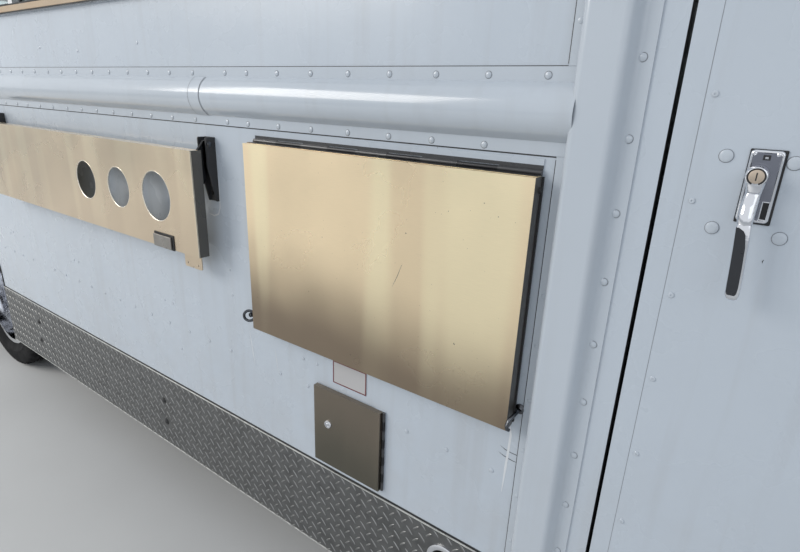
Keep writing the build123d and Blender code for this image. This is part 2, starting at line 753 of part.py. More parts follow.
shelf_plain += piano_place * Rot(0, 0, 90) * piano_moving

# Folding shelf with cup holes
cups_out = -HALF_WIDTH - CUPS_FACE
shelf_cups = box((CUPS_REAR_X, CUPS_FRONT_X), (cups_out, cups_out + CUPS_DEPTH), (CUPS_BOTTOM, CUPS_TOP))
shelf_cups -= box((CUPS_REAR_X + SHEET, CUPS_FRONT_X - SHEET),
                  (cups_out + SHEET, cups_out + CUPS_DEPTH + 1), (CUPS_BOTTOM + SHEET, CUPS_TOP - SHEET))
for x, radius in CUP_HOLES:
    shelf_cups -= Pos(x, cups_out, CUP_HOLE_Z) * Rot(90, 0, 0) * Cylinder(radius, CUPS_DEPTH)


# The two wall brackets of that shelf, and the arms that turn on their pins
bracket_front_x = CUPS_FRONT_X + BRACKET_INSET + BRACKET_CHEEK
bracket_rows = (
    (0, BRACKET_BOTTOM, 0),
    (8, BRACKET_BOTTOM, 0),
    (BRACKET_DEPTH, BRACKET_TOP - 80, 8),
    (BRACKET_DEPTH, BRACKET_TOP, 4),
    (0, BRACKET_TOP, 0),
)
arm_rows = (
    (CUPS_PIVOT_OUT - ARM_EYE, CUPS_PIVOT_Z + ARM_EYE, 0.9 * ARM_EYE),
    (CUPS_PIVOT_OUT - ARM_EYE, CUPS_PIVOT_Z - ARM_EYE, 0.9 * ARM_EYE),
    (CUPS_FACE - CUPS_DEPTH - 6, CUPS_PIVOT_Z - 104, 20),
    (CUPS_FACE - ARM_SET_BACK, CUPS_PIVOT_Z - 114, 0),
    (CUPS_FACE - ARM_SET_BACK, CUPS_TOP - SHEET, 0),
    (CUPS_PIVOT_OUT + ARM_EYE, CUPS_PIVOT_Z + ARM_EYE, 0.6 * ARM_EYE),
)
shelf_brackets = []
cup_centre_x = (CUPS_REAR_X + CUPS_FRONT_X) / 2
for side in (1, -1):
    def at(low, high):
        """Distances from the shelf's middle, as low and high X on this side."""
        return sorted((cup_centre_x + side * low, cup_centre_x + side * high))

    outer = bracket_front_x - cup_centre_x
    inner = outer - BRACKET_WIDTH
    cheek = outline([(-HALF_WIDTH - out, z, radius) for out, z, radius in bracket_rows])
    bracket = along_body(cheek, at(inner, inner + BRACKET_CHEEK))
    bracket += along_body(cheek, at(outer - BRACKET_CHEEK, outer))
    bracket += box(at(inner, outer), (-HALF_WIDTH - BRACKET_CHEEK, -HALF_WIDTH),
                   (BRACKET_BOTTOM, BRACKET_TOP))
    pin_low, pin_high = at(inner, outer)
    pivot = (-HALF_WIDTH - CUPS_PIVOT_OUT, CUPS_PIVOT_Z)
    bracket += rod((pin_low, *pivot), (pin_high, *pivot), CUPS_PIN_RADIUS)
    shelf_brackets.append(bracket)
    arm = along_body(outline([(-HALF_WIDTH - out, z, radius) for out, z, radius in arm_rows]),
                     at(CUPS_FRONT_X - cup_centre_x - ARM_SHEET, CUPS_FRONT_X - cup_centre_x))
    arm -= rod((pin_low, *pivot), (pin_high, *pivot), CUPS_PIN_RADIUS + RUNNING)
    shelf_cups += arm

# Fuel door: a folded sheet on a piano hinge at its front edge, and the filler's pocket behind it
fuel_pivot = (FUEL_FRONT_X + FUEL_HINGE_RADIUS, -HALF_WIDTH - FUEL_HINGE_RADIUS)
fuel_door = box((FUEL_REAR_X, FUEL_FRONT_X), (-HALF_WIDTH - FUEL_FACE, -HALF_WIDTH - FUEL_BACK),
                (FUEL_BOTTOM, FUEL_TOP))
fuel_door -= box((FUEL_REAR_X + SHEET, FUEL_FRONT_X - SHEET),
                 (-HALF_WIDTH - FUEL_FACE + FUEL_SKIN, -HALF_WIDTH),
                 (FUEL_BOTTOM + SHEET, FUEL_TOP - SHEET))
fuel_fixed, fuel_moving = hinge(FUEL_TOP - FUEL_BOTTOM, FUEL_HINGE_RADIUS, FUEL_HINGE_LEAF,
                                FUEL_HINGE_KNUCKLES, FUEL_HINGE_SHEET)
fuel_place = Pos(*fuel_pivot, FUEL_BOTTOM)
fuel_door += fuel_place * flipped(fuel_moving)
wall_curb += fuel_place * mirror(fuel_fixed, about=Plane.YZ)

pocket_x = (FUEL_REAR_X + FILLER_MARGIN, FUEL_FRONT_X - FILLER_MARGIN)
pocket_z = (FUEL_BOTTOM + FILLER_MARGIN, FUEL_TOP - FILLER_MARGIN)
pocket_y = (-inside_half, -inside_half + POCKET_DEPTH)
filler_x = (FUEL_REAR_X + FUEL_FRONT_X) / 2
pocket_body = box(grown(pocket_x, POCKET_SHEET), (pocket_y[0], pocket_y[1] + POCKET_SHEET),
                  grown(pocket_z, POCKET_SHEET))
pocket = pocket_body - box(pocket_x, (pocket_y[0] - 1, pocket_y[1]), pocket_z)
neck_foot = (filler_x, -inside_half + 34, TANK_TOP - 20)
neck_head = (filler_x, -inside_half + 20, FUEL_BOTTOM + 110)
pocket -= rod(neck_foot, neck_head, NECK_RADIUS + 1)
wall_curb += pocket

# Chassis: two channels that face each other, and members between them
rail_rows = (
    (RAIL_HALF, RAIL_TOP - RAIL_HEIGHT, 0),
    (RAIL_HALF, RAIL_TOP, 0),
    (RAIL_HALF - RAIL_FLANGE, RAIL_TOP, 0),
    (RAIL_HALF - RAIL_FLANGE, RAIL_TOP - RAIL_SHEET, 0),
    (RAIL_HALF - RAIL_SHEET, RAIL_TOP - RAIL_SHEET, 0),
    (RAIL_HALF - RAIL_SHEET, RAIL_TOP - RAIL_HEIGHT + RAIL_SHEET, 0),
    (RAIL_HALF - RAIL_FLANGE, RAIL_TOP - RAIL_HEIGHT + RAIL_SHEET, 0),
    (RAIL_HALF - RAIL_FLANGE, RAIL_TOP - RAIL_HEIGHT, 0),
)
frame_rail = along_body(outline(rail_rows), (RAIL_REAR_X, RAIL_FRONT_X))
web_half = RAIL_HALF - RAIL_SHEET
member_top = RAIL_TOP - RAIL_SHEET
carrier_bottom = RAIL_TOP - RAIL_HEIGHT + RAIL_SHEET
# Members between the rails: X of the middle, low Z, high Z
MEMBERS = (
    (-3400, member_top - MEMBER_HEIGHT, member_top),
    (-2600, member_top - MEMBER_HEIGHT, member_top),
    (-1150, member_top - MEMBER_HEIGHT, member_top),
    (-150, member_top - MEMBER_HEIGHT, member_top),
    (850, member_top - MEMBER_HEIGHT, member_top),
    (1650, member_top - MEMBER_HEIGHT, member_top),
    (2130, carrier_bottom, GEARBOX_BOTTOM),
    (2740, carrier_bottom, ENGINE_BOTTOM),
    (3470, carrier_bottom, member_top),
)
cross_members = [box((x - MEMBER_WIDTH / 2, x + MEMBER_WIDTH / 2), (-web_half, web_half), (low, high))
                 for x, low, high in MEMBERS]

# Engine, gearbox and drive shaft
drive_train = box((ENGINE_REAR_X, ENGINE_FRONT_X), (-ENGINE_HALF, ENGINE_HALF),
                  (ENGINE_BOTTOM, ENGINE_TOP))
drive_train += box((GEARBOX_REAR_X, ENGINE_REAR_X), (-GEARBOX_HALF, GEARBOX_HALF),
                   (GEARBOX_BOTTOM, GEARBOX_TOP))
shaft_head = Vector(GEARBOX_REAR_X, 0, SHAFT_HEAD_Z)
diff_centre = Vector(REAR_AXLE_X, 0, TYRE_RADIUS)
shaft_run = (shaft_head - diff_centre).normalized()
diff_nose_end = diff_centre + shaft_run * (DIFF_RADIUS + DIFF_NOSE)
drive_train += rod(shaft_head, diff_nose_end + shaft_run * RUNNING, SHAFT_RADIUS)


def leaf_spring(axle_x, seat_z, half_span, rise):
    """A spring pack over an axle, longest leaf on top, with the hangers that carry its ends."""
    spring_y = grown((SPRING_Y, SPRING_Y), SPRING_WIDTH / 2)
    pack = None
    for step in range(SPRING_LEAVES):
        # The lowest leaf is the shortest
        reach = half_span * (1 - (SPRING_LEAVES - 1 - step) * 0.24)
        low = seat_z + step * SPRING_LEAF
        end_z = low + rise * (reach / half_span) ** 2
        under = ThreePointArc((axle_x - reach, end_z), (axle_x, low), (axle_x + reach, end_z))
        over = ThreePointArc((axle_x + reach, end_z + SPRING_LEAF), (axle_x, low + SPRING_LEAF),
                             (axle_x - reach, end_z + SPRING_LEAF))
        ends = Line(under @ 1, over @ 0) + Line(over @ 1, under @ 0)
        leaf = across_body(make_face(under + over + ends), spring_y)
        pack = leaf if pack is None else pack + leaf
    eye_z = seat_z + SPRING_LEAVES * SPRING_LEAF + rise
    for x in (axle_x - half_span, axle_x + half_span):
        pack += rod((x, spring_y[0], eye_z), (x, spring_y[1], eye_z), SPRING_EYE)
        # Cheek of the hanger, seen from the side: X, Z, corner radius
        cheek = outline([
            (x - SPRING_EYE - 6, eye_z - SPRING_EYE, 10),
            (x + SPRING_EYE + 6, eye_z - SPRING_EYE, 10),
            (x + HANGER_HALF, RAIL_TOP - HANGER_DROP, 0),
            (x - HANGER_HALF, RAIL_TOP - HANGER_DROP, 0),
        ])
        pack += across_body(cheek, (RAIL_HALF, spring_y[0]))
        pack += across_body(cheek, (spring_y[1], spring_y[1] + HANGER_SHEET))
        pack += box(grown((x, x), HANGER_HALF - 10), (RAIL_HALF, spring_y[1] + HANGER_SHEET),
                    (RAIL_TOP - 3 * HANGER_DROP, RAIL_TOP - HANGER_DROP))
    return pack


# Wheel places
front_wheel_y = HALF_WIDTH - OUTER_TYRE_INSET - TYRE_WIDTH / 2
kingpin_y = front_wheel_y - KINGPIN_INSET
dual_y = front_wheel_y
axle_z = TYRE_RADIUS

# Rear axle: tube, differential and spindles, with its springs
drum_inner_y = dual_y - DUAL_SPACING / 2 - HUB_BACK - DRUM_WIDTH
rear_axle = rod((REAR_AXLE_X, -drum_inner_y + 8, axle_z), (REAR_AXLE_X, drum_inner_y - 8, axle_z),
                AXLE_TUBE_RADIUS)
rear_axle += rod((REAR_AXLE_X, -dual_y + SPINDLE_SHORT, axle_z),
                 (REAR_AXLE_X, dual_y - SPINDLE_SHORT, axle_z), REAR_SPINDLE_RADIUS)
rear_axle += Pos(diff_centre) * Sphere(DIFF_RADIUS)
rear_axle += rod(diff_centre, diff_nose_end, DIFF_NOSE_RADIUS)
rear_spring = leaf_spring(REAR_AXLE_X, axle_z + AXLE_TUBE_RADIUS - 2, REAR_SPRING_HALF, REAR_SPRING_RISE)
rear_axle += rear_spring
rear_axle += flipped(rear_spring)

# Front axle: a dropped beam between the kingpins, seen from the front: Y, Z, corner radius
BEAM_ROWS = (
    (-kingpin_y, axle_z - BEAM_END_HALF, 0),
    (BEAM_END_LENGTH - kingpin_y, axle_z - BEAM_END_HALF, 0),
    (-BEAM_DROP_Y, BEAM_BOTTOM, 60),
    (BEAM_DROP_Y, BEAM_BOTTOM, 60),
    (kingpin_y - BEAM_END_LENGTH, axle_z - BEAM_END_HALF, 0),
    (kingpin_y, axle_z - BEAM_END_HALF, 0),
    (kingpin_y, axle_z + BEAM_END_HALF, 0),
    (BEAM_DROP_Y - 20, BEAM_BOTTOM + BEAM_HEIGHT, 60),
    (20 - BEAM_DROP_Y, BEAM_BOTTOM + BEAM_HEIGHT, 60),
    (-kingpin_y, axle_z + BEAM_END_HALF, 0),
)
front_axle = along_body(outline(BEAM_ROWS),
                        (FRONT_AXLE_X - BEAM_WIDTH / 2, FRONT_AXLE_X + BEAM_WIDTH / 2))
for side in (-1, 1):
    front_axle += Pos(FRONT_AXLE_X, side * kingpin_y, axle_z) * Cylinder(BEAM_EYE, 2 * EYE_HALF)
    front_axle -= Pos(FRONT_AXLE_X, side * kingpin_y, axle_z) * Cylinder(
        KINGPIN_RADIUS + RUNNING, 4 * EYE_HALF)
front_spring = leaf_spring(FRONT_AXLE_X, BEAM_BOTTOM + BEAM_HEIGHT - 2, FRONT_SPRING_HALF, FRONT_SPRING_RISE)
front_axle += front_spring
front_axle += flipped(front_spring)


# Knuckles: a yoke round the beam's eye, a kingpin, a spindle and a steering arm
def knuckle(left):
    """One front knuckle, made for the left side."""
    x = (FRONT_AXLE_X - YOKE_HALF, FRONT_AXLE_X + YOKE_HALF)
    y = (kingpin_y - YOKE_HALF, kingpin_y + YOKE_BACK)
    low = axle_z - EYE_HALF - YOKE_EAR
    high = axle_z + EYE_HALF + YOKE_EAR
    body = box(x, y, (low, axle_z - EYE_HALF - RUNNING))
    body += box(x, y, (axle_z + EYE_HALF + RUNNING, high))
    body += box(x, (kingpin_y + BEAM_EYE + 4, kingpin_y + YOKE_BACK), (low, high))
    body += Pos(FRONT_AXLE_X, kingpin_y, axle_z) * Cylinder(KINGPIN_RADIUS, 2 * (EYE_HALF + YOKE_EAR))
    body += rod((FRONT_AXLE_X, kingpin_y + YOKE_BACK - 2, axle_z),
                (FRONT_AXLE_X, front_wheel_y + 15, axle_z), FRONT_SPINDLE_RADIUS)
    arm_end = Pos(FRONT_AXLE_X - STEER_ARM, kingpin_y, low + YOKE_EAR / 2)
    body += box((FRONT_AXLE_X - STEER_ARM, FRONT_AXLE_X), grown((kingpin_y, kingpin_y), 18),
                (low, low + YOKE_EAR))
    body += arm_end * Cylinder(26, YOKE_EAR)
    slack = RUNNING if left else OPEN_PIVOT_SLACK
    body -= arm_end * Cylinder(TIE_PIN_RADIUS + slack, 2 * YOKE_EAR)
    return body if left else flipped(body)


# Tie rod, below the steering arms, with a pin at each end
arm_low = axle_z - EYE_HALF - YOKE_EAR
tie_z = arm_low - RUNNING - TIE_EYE_HEIGHT / 2
tie_x = FRONT_AXLE_X - STEER_ARM
tie_rod = rod((tie_x, -kingpin_y, tie_z), (tie_x, kingpin_y, tie_z), TIE_ROD_RADIUS)
for side in (-1, 1):
    end = Pos(tie_x, side * kingpin_y, tie_z)
    tie_rod += end * Cylinder(22, TIE_EYE_HEIGHT)
    tie_rod += end * Pos(0, 0, TIE_EYE_HEIGHT) * Cylinder(TIE_PIN_RADIUS, 2 * YOKE_EAR)


# Wheels, made with the axle along Y and the outer side at +Y, round the tyre's middle
def ring(rows):
    """A body turned round the Y axis from rows of (radius, across, corner radius)."""
    return revolve(outline(rows), Axis.Y)


def turned(r, a):
    """A plain ring or disc between low and high radius, and low and high place across."""
    return ring([(r[0], a[0], 0), (r[1], a[0], 0), (r[1], a[1], 0), (r[0], a[1], 0)])


def tyre():
    half = TYRE_WIDTH / 2
    bead = BEAD_WIDTH / 2
    return ring([
        (BEAD_RADIUS, -bead, 0),
        (RIM_LIP_RADIUS + 4, -bead, 0),
        (BEAD_RADIUS + 0.5 * (TYRE_RADIUS - BEAD_RADIUS), -half - 4, 60),
        (TYRE_RADIUS, -half + 12, 14),
        (TYRE_RADIUS, half - 12, 14),
        (BEAD_RADIUS + 0.5 * (TYRE_RADIUS - BEAD_RADIUS), half + 4, 60),
        (RIM_LIP_RADIUS + 4, bead, 0),
        (BEAD_RADIUS, bead, 0),
    ])


def rim(disc_out, disc_in):
    """A rim whose dished disc meets the barrel at disc_out and the hub at disc_in."""
    bead = BEAD_WIDTH / 2
    edge = bead + RIM_LIP
    barrel = turned((BEAD_RADIUS - RIM_SHEET, BEAD_RADIUS), (-edge, edge))
    barrel += turned((BEAD_RADIUS - 1, RIM_LIP_RADIUS), (-edge, -bead))
    barrel += turned((BEAD_RADIUS - 1, RIM_LIP_RADIUS), (bead, edge))
    disc = ring([
        (HUB_CAP_RADIUS - 20, disc_in - RIM_SHEET, 0),
        (DISC_FLAT, disc_in - RIM_SHEET, 20),
        (BEAD_RADIUS - 4, disc_out - RIM_SHEET, 0),
        (BEAD_RADIUS - 4, disc_out, 0),
        (DISC_FLAT, disc_in, 20),
        (HUB_CAP_RADIUS - 20, disc_in, 0),
    ])
    for hole in range(HAND_HOLES):
        turn = Rot(0, 360 / HAND_HOLES * hole, 0)
        disc -= turn * Pos(HAND_HOLE_CIRCLE + 14, (disc_out + disc_in) / 2, 0) * Rot(90, 0, 0) * Cylinder(
            HAND_HOLE_RADIUS, 4 * abs(disc_out - disc_in) + 4 * RIM_SHEET)
    return barrel + disc


front_rim = rim(DISC_DISH - 30, DISC_DISH)
front_rim += turned((0, HUB_CAP_RADIUS), (0, DISC_DISH + 34))
front_rim += turned((0, DRUM_RADIUS - 15), (FRONT_DRUM_INNER, FRONT_DRUM_INNER + 70))
front_rim -= turned((0, FRONT_SPINDLE_RADIUS + RUNNING), (-DUAL_SPACING, 15 + RUNNING))

mid = -DUAL_SPACING / 2
outer_rim = rim(mid + 70, mid + RIM_SHEET)
inner_rim = Pos(0, -DUAL_SPACING, 0) * flipped(outer_rim)
rear_rims = outer_rim + inner_rim
rear_rims += turned((0, HUB_RADIUS), (mid - HUB_BACK, mid + HUB_FRONT))
rear_rims += turned((0, HUB_CAP_RADIUS), (mid, mid + HUB_FRONT + 30))
rear_rims += turned((0, DRUM_RADIUS), (mid - HUB_BACK - DRUM_WIDTH, mid - HUB_BACK + 1))
rear_rims -= turned((0, REAR_SPINDLE_RADIUS + RUNNING), (-2 * DUAL_SPACING, -SPINDLE_SHORT + RUNNING))

one_tyre = tyre()
front_place = Pos(FRONT_AXLE_X, front_wheel_y, axle_z)
rear_place = Pos(REAR_AXLE_X, dual_y, axle_z)

# Floor with sills, wheel houses, step wells and firewall
floor_low = FLOOR_TOP - FLOOR_THICK
floor_pan = box((REAR_X + WALL, FIREWALL_X), (-inside_half, inside_half), (floor_low, FLOOR_TOP))
for x in SILLS:
    floor_pan += box((x - SILL_WIDTH / 2, x + SILL_WIDTH / 2), (-inside_half, inside_half),
                     (RAIL_TOP, floor_low))
floor_pan += box((FIREWALL_X - HOUSE_SHEET, FIREWALL_X), (-inside_half, inside_half),
                 (floor_low, FIREWALL_TOP))
well_x = (DOOR_REAR_X - DOOR_GAP, DOOR_FRONT_X + DOOR_GAP)
well_low = DOOR_BOTTOM - DOOR_GAP
for axle_x, house_inner_y in ((FRONT_AXLE_X, FRONT_HOUSE_INNER_Y), (REAR_AXLE_X, REAR_HOUSE_INNER_Y)):
    house_x = grown((axle_x, axle_x), ARCH_HALF)
    house = box(grown(house_x, HOUSE_SHEET), (house_inner_y - HOUSE_SHEET, inside_half),
                (RAIL_TOP, HOUSE_TOP))
    house_room = box(house_x, (house_inner_y, HALF_WIDTH), (0, HOUSE_TOP - HOUSE_SHEET))
    floor_pan += house
    floor_pan += flipped(house)
    floor_pan -= house_room
    floor_pan -= flipped(house_room)
well = box(grown(well_x, HOUSE_SHEET), (WELL_INNER_Y - HOUSE_SHEET, inside_half),
           (well_low - HOUSE_SHEET, FLOOR_TOP))
well_room = box(well_x, (WELL_INNER_Y, HALF_WIDTH), (well_low, FLOOR_TOP + 1))
floor_pan += well
floor_pan += flipped(well)
floor_pan -= well_room
floor_pan -= flipped(well_room)
tunnel_half = ENGINE_HALF + TUNNEL_ROOM
floor_pan -= box((ENGINE_REAR_X - TUNNEL_ROOM, FIREWALL_X + WALL), (-tunnel_half, tunnel_half),
                 (RAIL_TOP + 1, ENGINE_TOP + TUNNEL_ROOM))
floor_pan -= pocket_body
# The floor ends at the inner face of the walls, also in the rounded corners
floor_pan &= skin[WALL]

# Engine cover and dash with the steering column
cover_x = (ENGINE_REAR_X - TUNNEL_ROOM - COVER_SHEET, FIREWALL_X - HOUSE_SHEET)
cover_top = ENGINE_TOP + TUNNEL_ROOM + COVER_SHEET
dash = box(cover_x, grown((-tunnel_half, tunnel_half), COVER_SHEET), (FLOOR_TOP, cover_top))
dash -= box((cover_x[0] + COVER_SHEET, FIREWALL_X + 1), (-tunnel_half, tunnel_half),
            (0, cover_top - COVER_SHEET))
# Dash board seen from the side: X, Z, corner radius
DASH_ROWS = (
    (FIREWALL_X - HOUSE_SHEET, cover_top, 0),
    (FIREWALL_X - HOUSE_SHEET, FIREWALL_TOP, 0),
    (FIREWALL_X - DASH_DEPTH + 50, FIREWALL_TOP - 10, 50),
    (FIREWALL_X - DASH_DEPTH, cover_top + 68, 40),
    (FIREWALL_X - DASH_DEPTH + 80, cover_top, 20),
)
dash += across_body(outline(DASH_ROWS), (-inside_half, inside_half))
column_dir = (-cos(radians(COLUMN_RAKE)), 0, sin(radians(COLUMN_RAKE)))
wheel_centre = Vector(STEERING_X, STEERING_Y, STEERING_Z)
column_top = wheel_centre - Vector(*column_dir) * (WHEEL_HUB + RUNNING)
column_foot = column_top - Vector(*column_dir) * COLUMN_LENGTH
dash += rod(tuple(column_foot), tuple(column_top), COLUMN_RADIUS)

wheel_plane = Plane(origin=wheel_centre, z_dir=column_dir)
steering_wheel = wheel_plane * Torus(STEERING_RADIUS, GRIP_RADIUS)
steering_wheel += wheel_plane * Pos(0, 0, -WHEEL_HUB / 2) * Cylinder(34, WHEEL_HUB)
for spoke in range(SPOKES):
    steering_wheel += wheel_plane * Rot(0, 0, 90 + 360 / SPOKES * spoke) * Pos(
        STEERING_RADIUS / 2 - 2, 0, -3) * Box(STEERING_RADIUS - 4, 26, 8)

# Driver's seat: pedestal, cushion and back
seat_x = (SEAT_REAR_X, SEAT_REAR_X + SEAT_LENGTH)
seat_pedestal = box(grown(seat_x, -60), grown((SEAT_Y, SEAT_Y), 150), (FLOOR_TOP, SEAT_Z))
seat_cushion = box(seat_x, grown((SEAT_Y, SEAT_Y), SEAT_WIDTH / 2), (SEAT_Z, SEAT_Z + SEAT_PAD))
seat_cushion = fillet(seat_cushion.edges().group_by(Axis.Z)[-1], 30)
BACK_ROWS = (
    (SEAT_REAR_X, SEAT_Z + SEAT_PAD, 0),
    (SEAT_REAR_X + 95, SEAT_Z + SEAT_PAD, 0),
    (SEAT_REAR_X + 10, SEAT_Z + SEAT_PAD + SEAT_BACK, 40),
    (SEAT_REAR_X - 80, SEAT_Z + SEAT_PAD + SEAT_BACK, 40),
)
driver_seat = seat_pedestal + seat_cushion
driver_seat += across_body(outline(BACK_ROWS), grown((SEAT_Y, SEAT_Y), SEAT_WIDTH / 2 - 10))

# Kitchen: benches along both walls, a cold cupboard and a range hood
bench_low = HOUSE_TOP + 16


def bench(x, depth, legs):
    """A bench of sheet on the curb side, open at the front, with a shelf and legs."""
    y = (-inside_half, -inside_half + depth)
    body = box(x, y, (bench_low, BENCH_TOP_Z))
    room_x = grown(x, -BENCH_SHEET)
    room_y = (y[0] + BENCH_SHEET, y[1] + 1)
    body -= box(room_x, room_y, (bench_low + BENCH_SHEET, BENCH_SHELF_Z))
    body -= box(room_x, room_y, (BENCH_SHELF_Z + BENCH_SHEET, BENCH_TOP_Z - BENCH_TOP))
    for leg_x, foot_z in legs:
        body += box(grown((leg_x, leg_x), 20), (y[1] - 60, y[1] - 20), (foot_z, bench_low))
    return body


# Legs of each bench: X and the height that the foot stands on
house_front_x = REAR_AXLE_X + ARCH_HALF + 80
front_leg_x = BENCH_CURB_X[1] - LEG_INSET
curb_legs = ((BENCH_CURB_X[0] + LEG_INSET, HOUSE_TOP), (house_front_x, FLOOR_TOP), (front_leg_x, FLOOR_TOP))
street_legs = ((BENCH_STREET_X[0] + LEG_INSET, FLOOR_TOP), (house_front_x, FLOOR_TOP),
               (front_leg_x, FLOOR_TOP))
serving_bench = bench(BENCH_CURB_X, BENCH_DEPTH, curb_legs)
cook_bench = flipped(bench(BENCH_STREET_X, COOK_DEPTH, street_legs))
griddle_y = (inside_half - BENCH_DEPTH, inside_half - 60)
cook_bench += box(GRIDDLE_X, griddle_y, (BENCH_TOP_Z, BENCH_TOP_Z + GRIDDLE_HEIGHT))
cook_bench -= box(grown(GRIDDLE_X, -30), grown(griddle_y, -30),
                  (BENCH_TOP_Z + GRIDDLE_HEIGHT - 30, BENCH_TOP_Z + GRIDDLE_HEIGHT + 1))
cold_y = (inside_half - HOOD_DEPTH, inside_half)
cold_cupboard = box(COLD_X, cold_y, (bench_low, COLD_TOP))
cold_cupboard += box(grown(COLD_X, -60), (cold_y[0] + 20, cold_y[0] + 80), (FLOOR_TOP, bench_low))
# Range hood seen from the rear: Y, Z
hood_front_y = inside_half - HOOD_DEPTH
hood_top_y = inside_half - HOOD_TOP_DEPTH
HOOD_ROWS = (
    (inside_half, RANGE_HOOD_Z[0], 0),
    (inside_half, RANGE_HOOD_Z[1], 0),
    (hood_top_y, RANGE_HOOD_Z[1], 0),
    (hood_front_y, RANGE_HOOD_Z[0] + 100, 0),
    (hood_front_y, RANGE_HOOD_Z[0], 0),
)
HOOD_ROOM_ROWS = (
    (inside_half - BENCH_SHEET, RANGE_HOOD_Z[0] - 1, 0),
    (inside_half - BENCH_SHEET, RANGE_HOOD_Z[1] - BENCH_SHEET, 0),
    (hood_top_y + BENCH_SHEET, RANGE_HOOD_Z[1] - BENCH_SHEET, 0),
    (hood_front_y + BENCH_SHEET, RANGE_HOOD_Z[0] + 100, 0),
    (hood_front_y + BENCH_SHEET, RANGE_HOOD_Z[0] - 1, 0),
)
range_hood = along_body(outline(HOOD_ROWS), RANGE_HOOD_X)
range_hood -= along_body(outline(HOOD_ROOM_ROWS), grown(RANGE_HOOD_X, -BENCH_SHEET))
range_hood += rod((FAN_X, FAN_Y, RANGE_HOOD_Z[1] - BENCH_SHEET), (FAN_X, FAN_Y, ROOF_Z - WALL), DUCT_RADIUS)
kitchen = [serving_bench, cook_bench, cold_cupboard, range_hood]


# Tanks under the floor, held to the frame rails, with the fuel filler's neck and cap
def tank(x):
    """A tank on the curb side with rounded long edges, and the brackets that hold it to the rail."""
    body = box(x, (-TANK_OUTER_Y, -TANK_INNER_Y), (TANK_BOTTOM, TANK_TOP))
    body = fillet(body.edges().filter_by(Axis.X), TANK_CORNER)
    for bracket_x in grown(x, -TANK_BRACKET_INSET):
        body += box(grown((bracket_x, bracket_x), TANK_BRACKET_HALF), (-TANK_INNER_Y - 20, -RAIL_HALF),
                    (TANK_TOP - 2 * TANK_CORNER, TANK_TOP - TANK_CORNER))
    return body


fuel_tank = tank(FUEL_TANK_X)
fuel_tank += rod(neck_foot, neck_head, NECK_RADIUS)
cap_run = (Vector(*neck_head) - Vector(*neck_foot)).normalized()
fuel_tank += rod(neck_head, Vector(*neck_head) + cap_run * 24, NECK_RADIUS + 12)
water_tank = flipped(tank(WATER_TANK_X))

# Exhaust: a pipe from under the engine to the silencer, and a side outlet
PIPE_ROUTE = (
    (2650, 200, ENGINE_BOTTOM),
    (2650, 200, 440),
    (2150, 260, 440),
    (2000, SILENCER_Y, 440),
    (1700, SILENCER_Y, SILENCER_Z),
    (SILENCER_X[1], SILENCER_Y, SILENCER_Z),
)
OUTLET_ROUTE = (
    (SILENCER_X[0], SILENCER_Y, SILENCER_Z),
    (330, SILENCER_Y + 20, 540),
    (240, 900, 400),
    (200, 1130, 300),
)


def pipe(route):
    """A pipe along straight runs joined by arcs."""
    path = FilletPolyline(*route, radius=PIPE_BEND)
    return sweep(Plane(origin=path @ 0, z_dir=path % 0) * Circle(PIPE_RADIUS), path=path)


exhaust = pipe(PIPE_ROUTE)
exhaust += rod(PIPE_ROUTE[-1], OUTLET_ROUTE[0], SILENCER_RADIUS)
exhaust += pipe(OUTLET_ROUTE)
for hanger_x in grown(SILENCER_X, -140):
    exhaust += box(grown((hanger_x, hanger_x), 15), (RAIL_HALF, SILENCER_Y), (SILENCER_Z + 40, SILENCER_Z + 80))

# Grille: slats and bars that follow the nose
grille_cage = box((NOSE_TOP_X - 2 * WALL, NOSE_FOOT_X + WALL), (-GRILLE_HALF, GRILLE_HALF),
                  (GRILLE_BOTTOM, GRILLE_BOTTOM + GRILLE_SLAT))
slat_pitch = (GRILLE_TOP - GRILLE_BOTTOM - GRILLE_SLAT) / (GRILLE_SLATS - 1)
for slat in range(1, GRILLE_SLATS):
    low = GRILLE_BOTTOM + slat * slat_pitch
    grille_cage += box((NOSE_TOP_X - 2 * WALL, NOSE_FOOT_X + WALL), (-GRILLE_HALF, GRILLE_HALF),
                       (low, low + GRILLE_SLAT))
for bar_y in (-GRILLE_HALF + 11, -GRILLE_HALF / 3, GRILLE_HALF / 3, GRILLE_HALF - 11):
    grille_cage += box((NOSE_TOP_X - 2 * WALL, NOSE_FOOT_X + WALL), grown((bar_y, bar_y), 11),
                       (GRILLE_BOTTOM, GRILLE_TOP))
grille = layer(skin, GRILLE_INSET, GRILLE_BACK_INSET) & grille_cage


# Lamps
def nose_x(z):
    """The nose's outer face at a height."""
    return NOSE_FOOT_X - (NOSE_FOOT_X - NOSE_TOP_X) * (z - NOSE_FOOT_Z) / (NOSE_TOP_Z - NOSE_FOOT_Z)


def lamp(radius, depth, dome):
    """A lamp with a domed lens, its axis along +Z and its mounting plane at Z = 0."""
    ball = (radius ** 2 + dome ** 2) / (2 * dome)
    lens_x = radius / 2
    lens = ThreePointArc(
        (radius, LENS_EDGE), (lens_x, LENS_EDGE + dome - ball + (ball ** 2 - lens_x ** 2) ** 0.5),
        (0, LENS_EDGE + dome))
    sides = Polyline((0, LENS_EDGE + dome), (0, -depth), (radius, -depth), (radius, LENS_EDGE))
    return Rot(90, 0, 0) * revolve(make_face(lens + sides), Axis.Y)


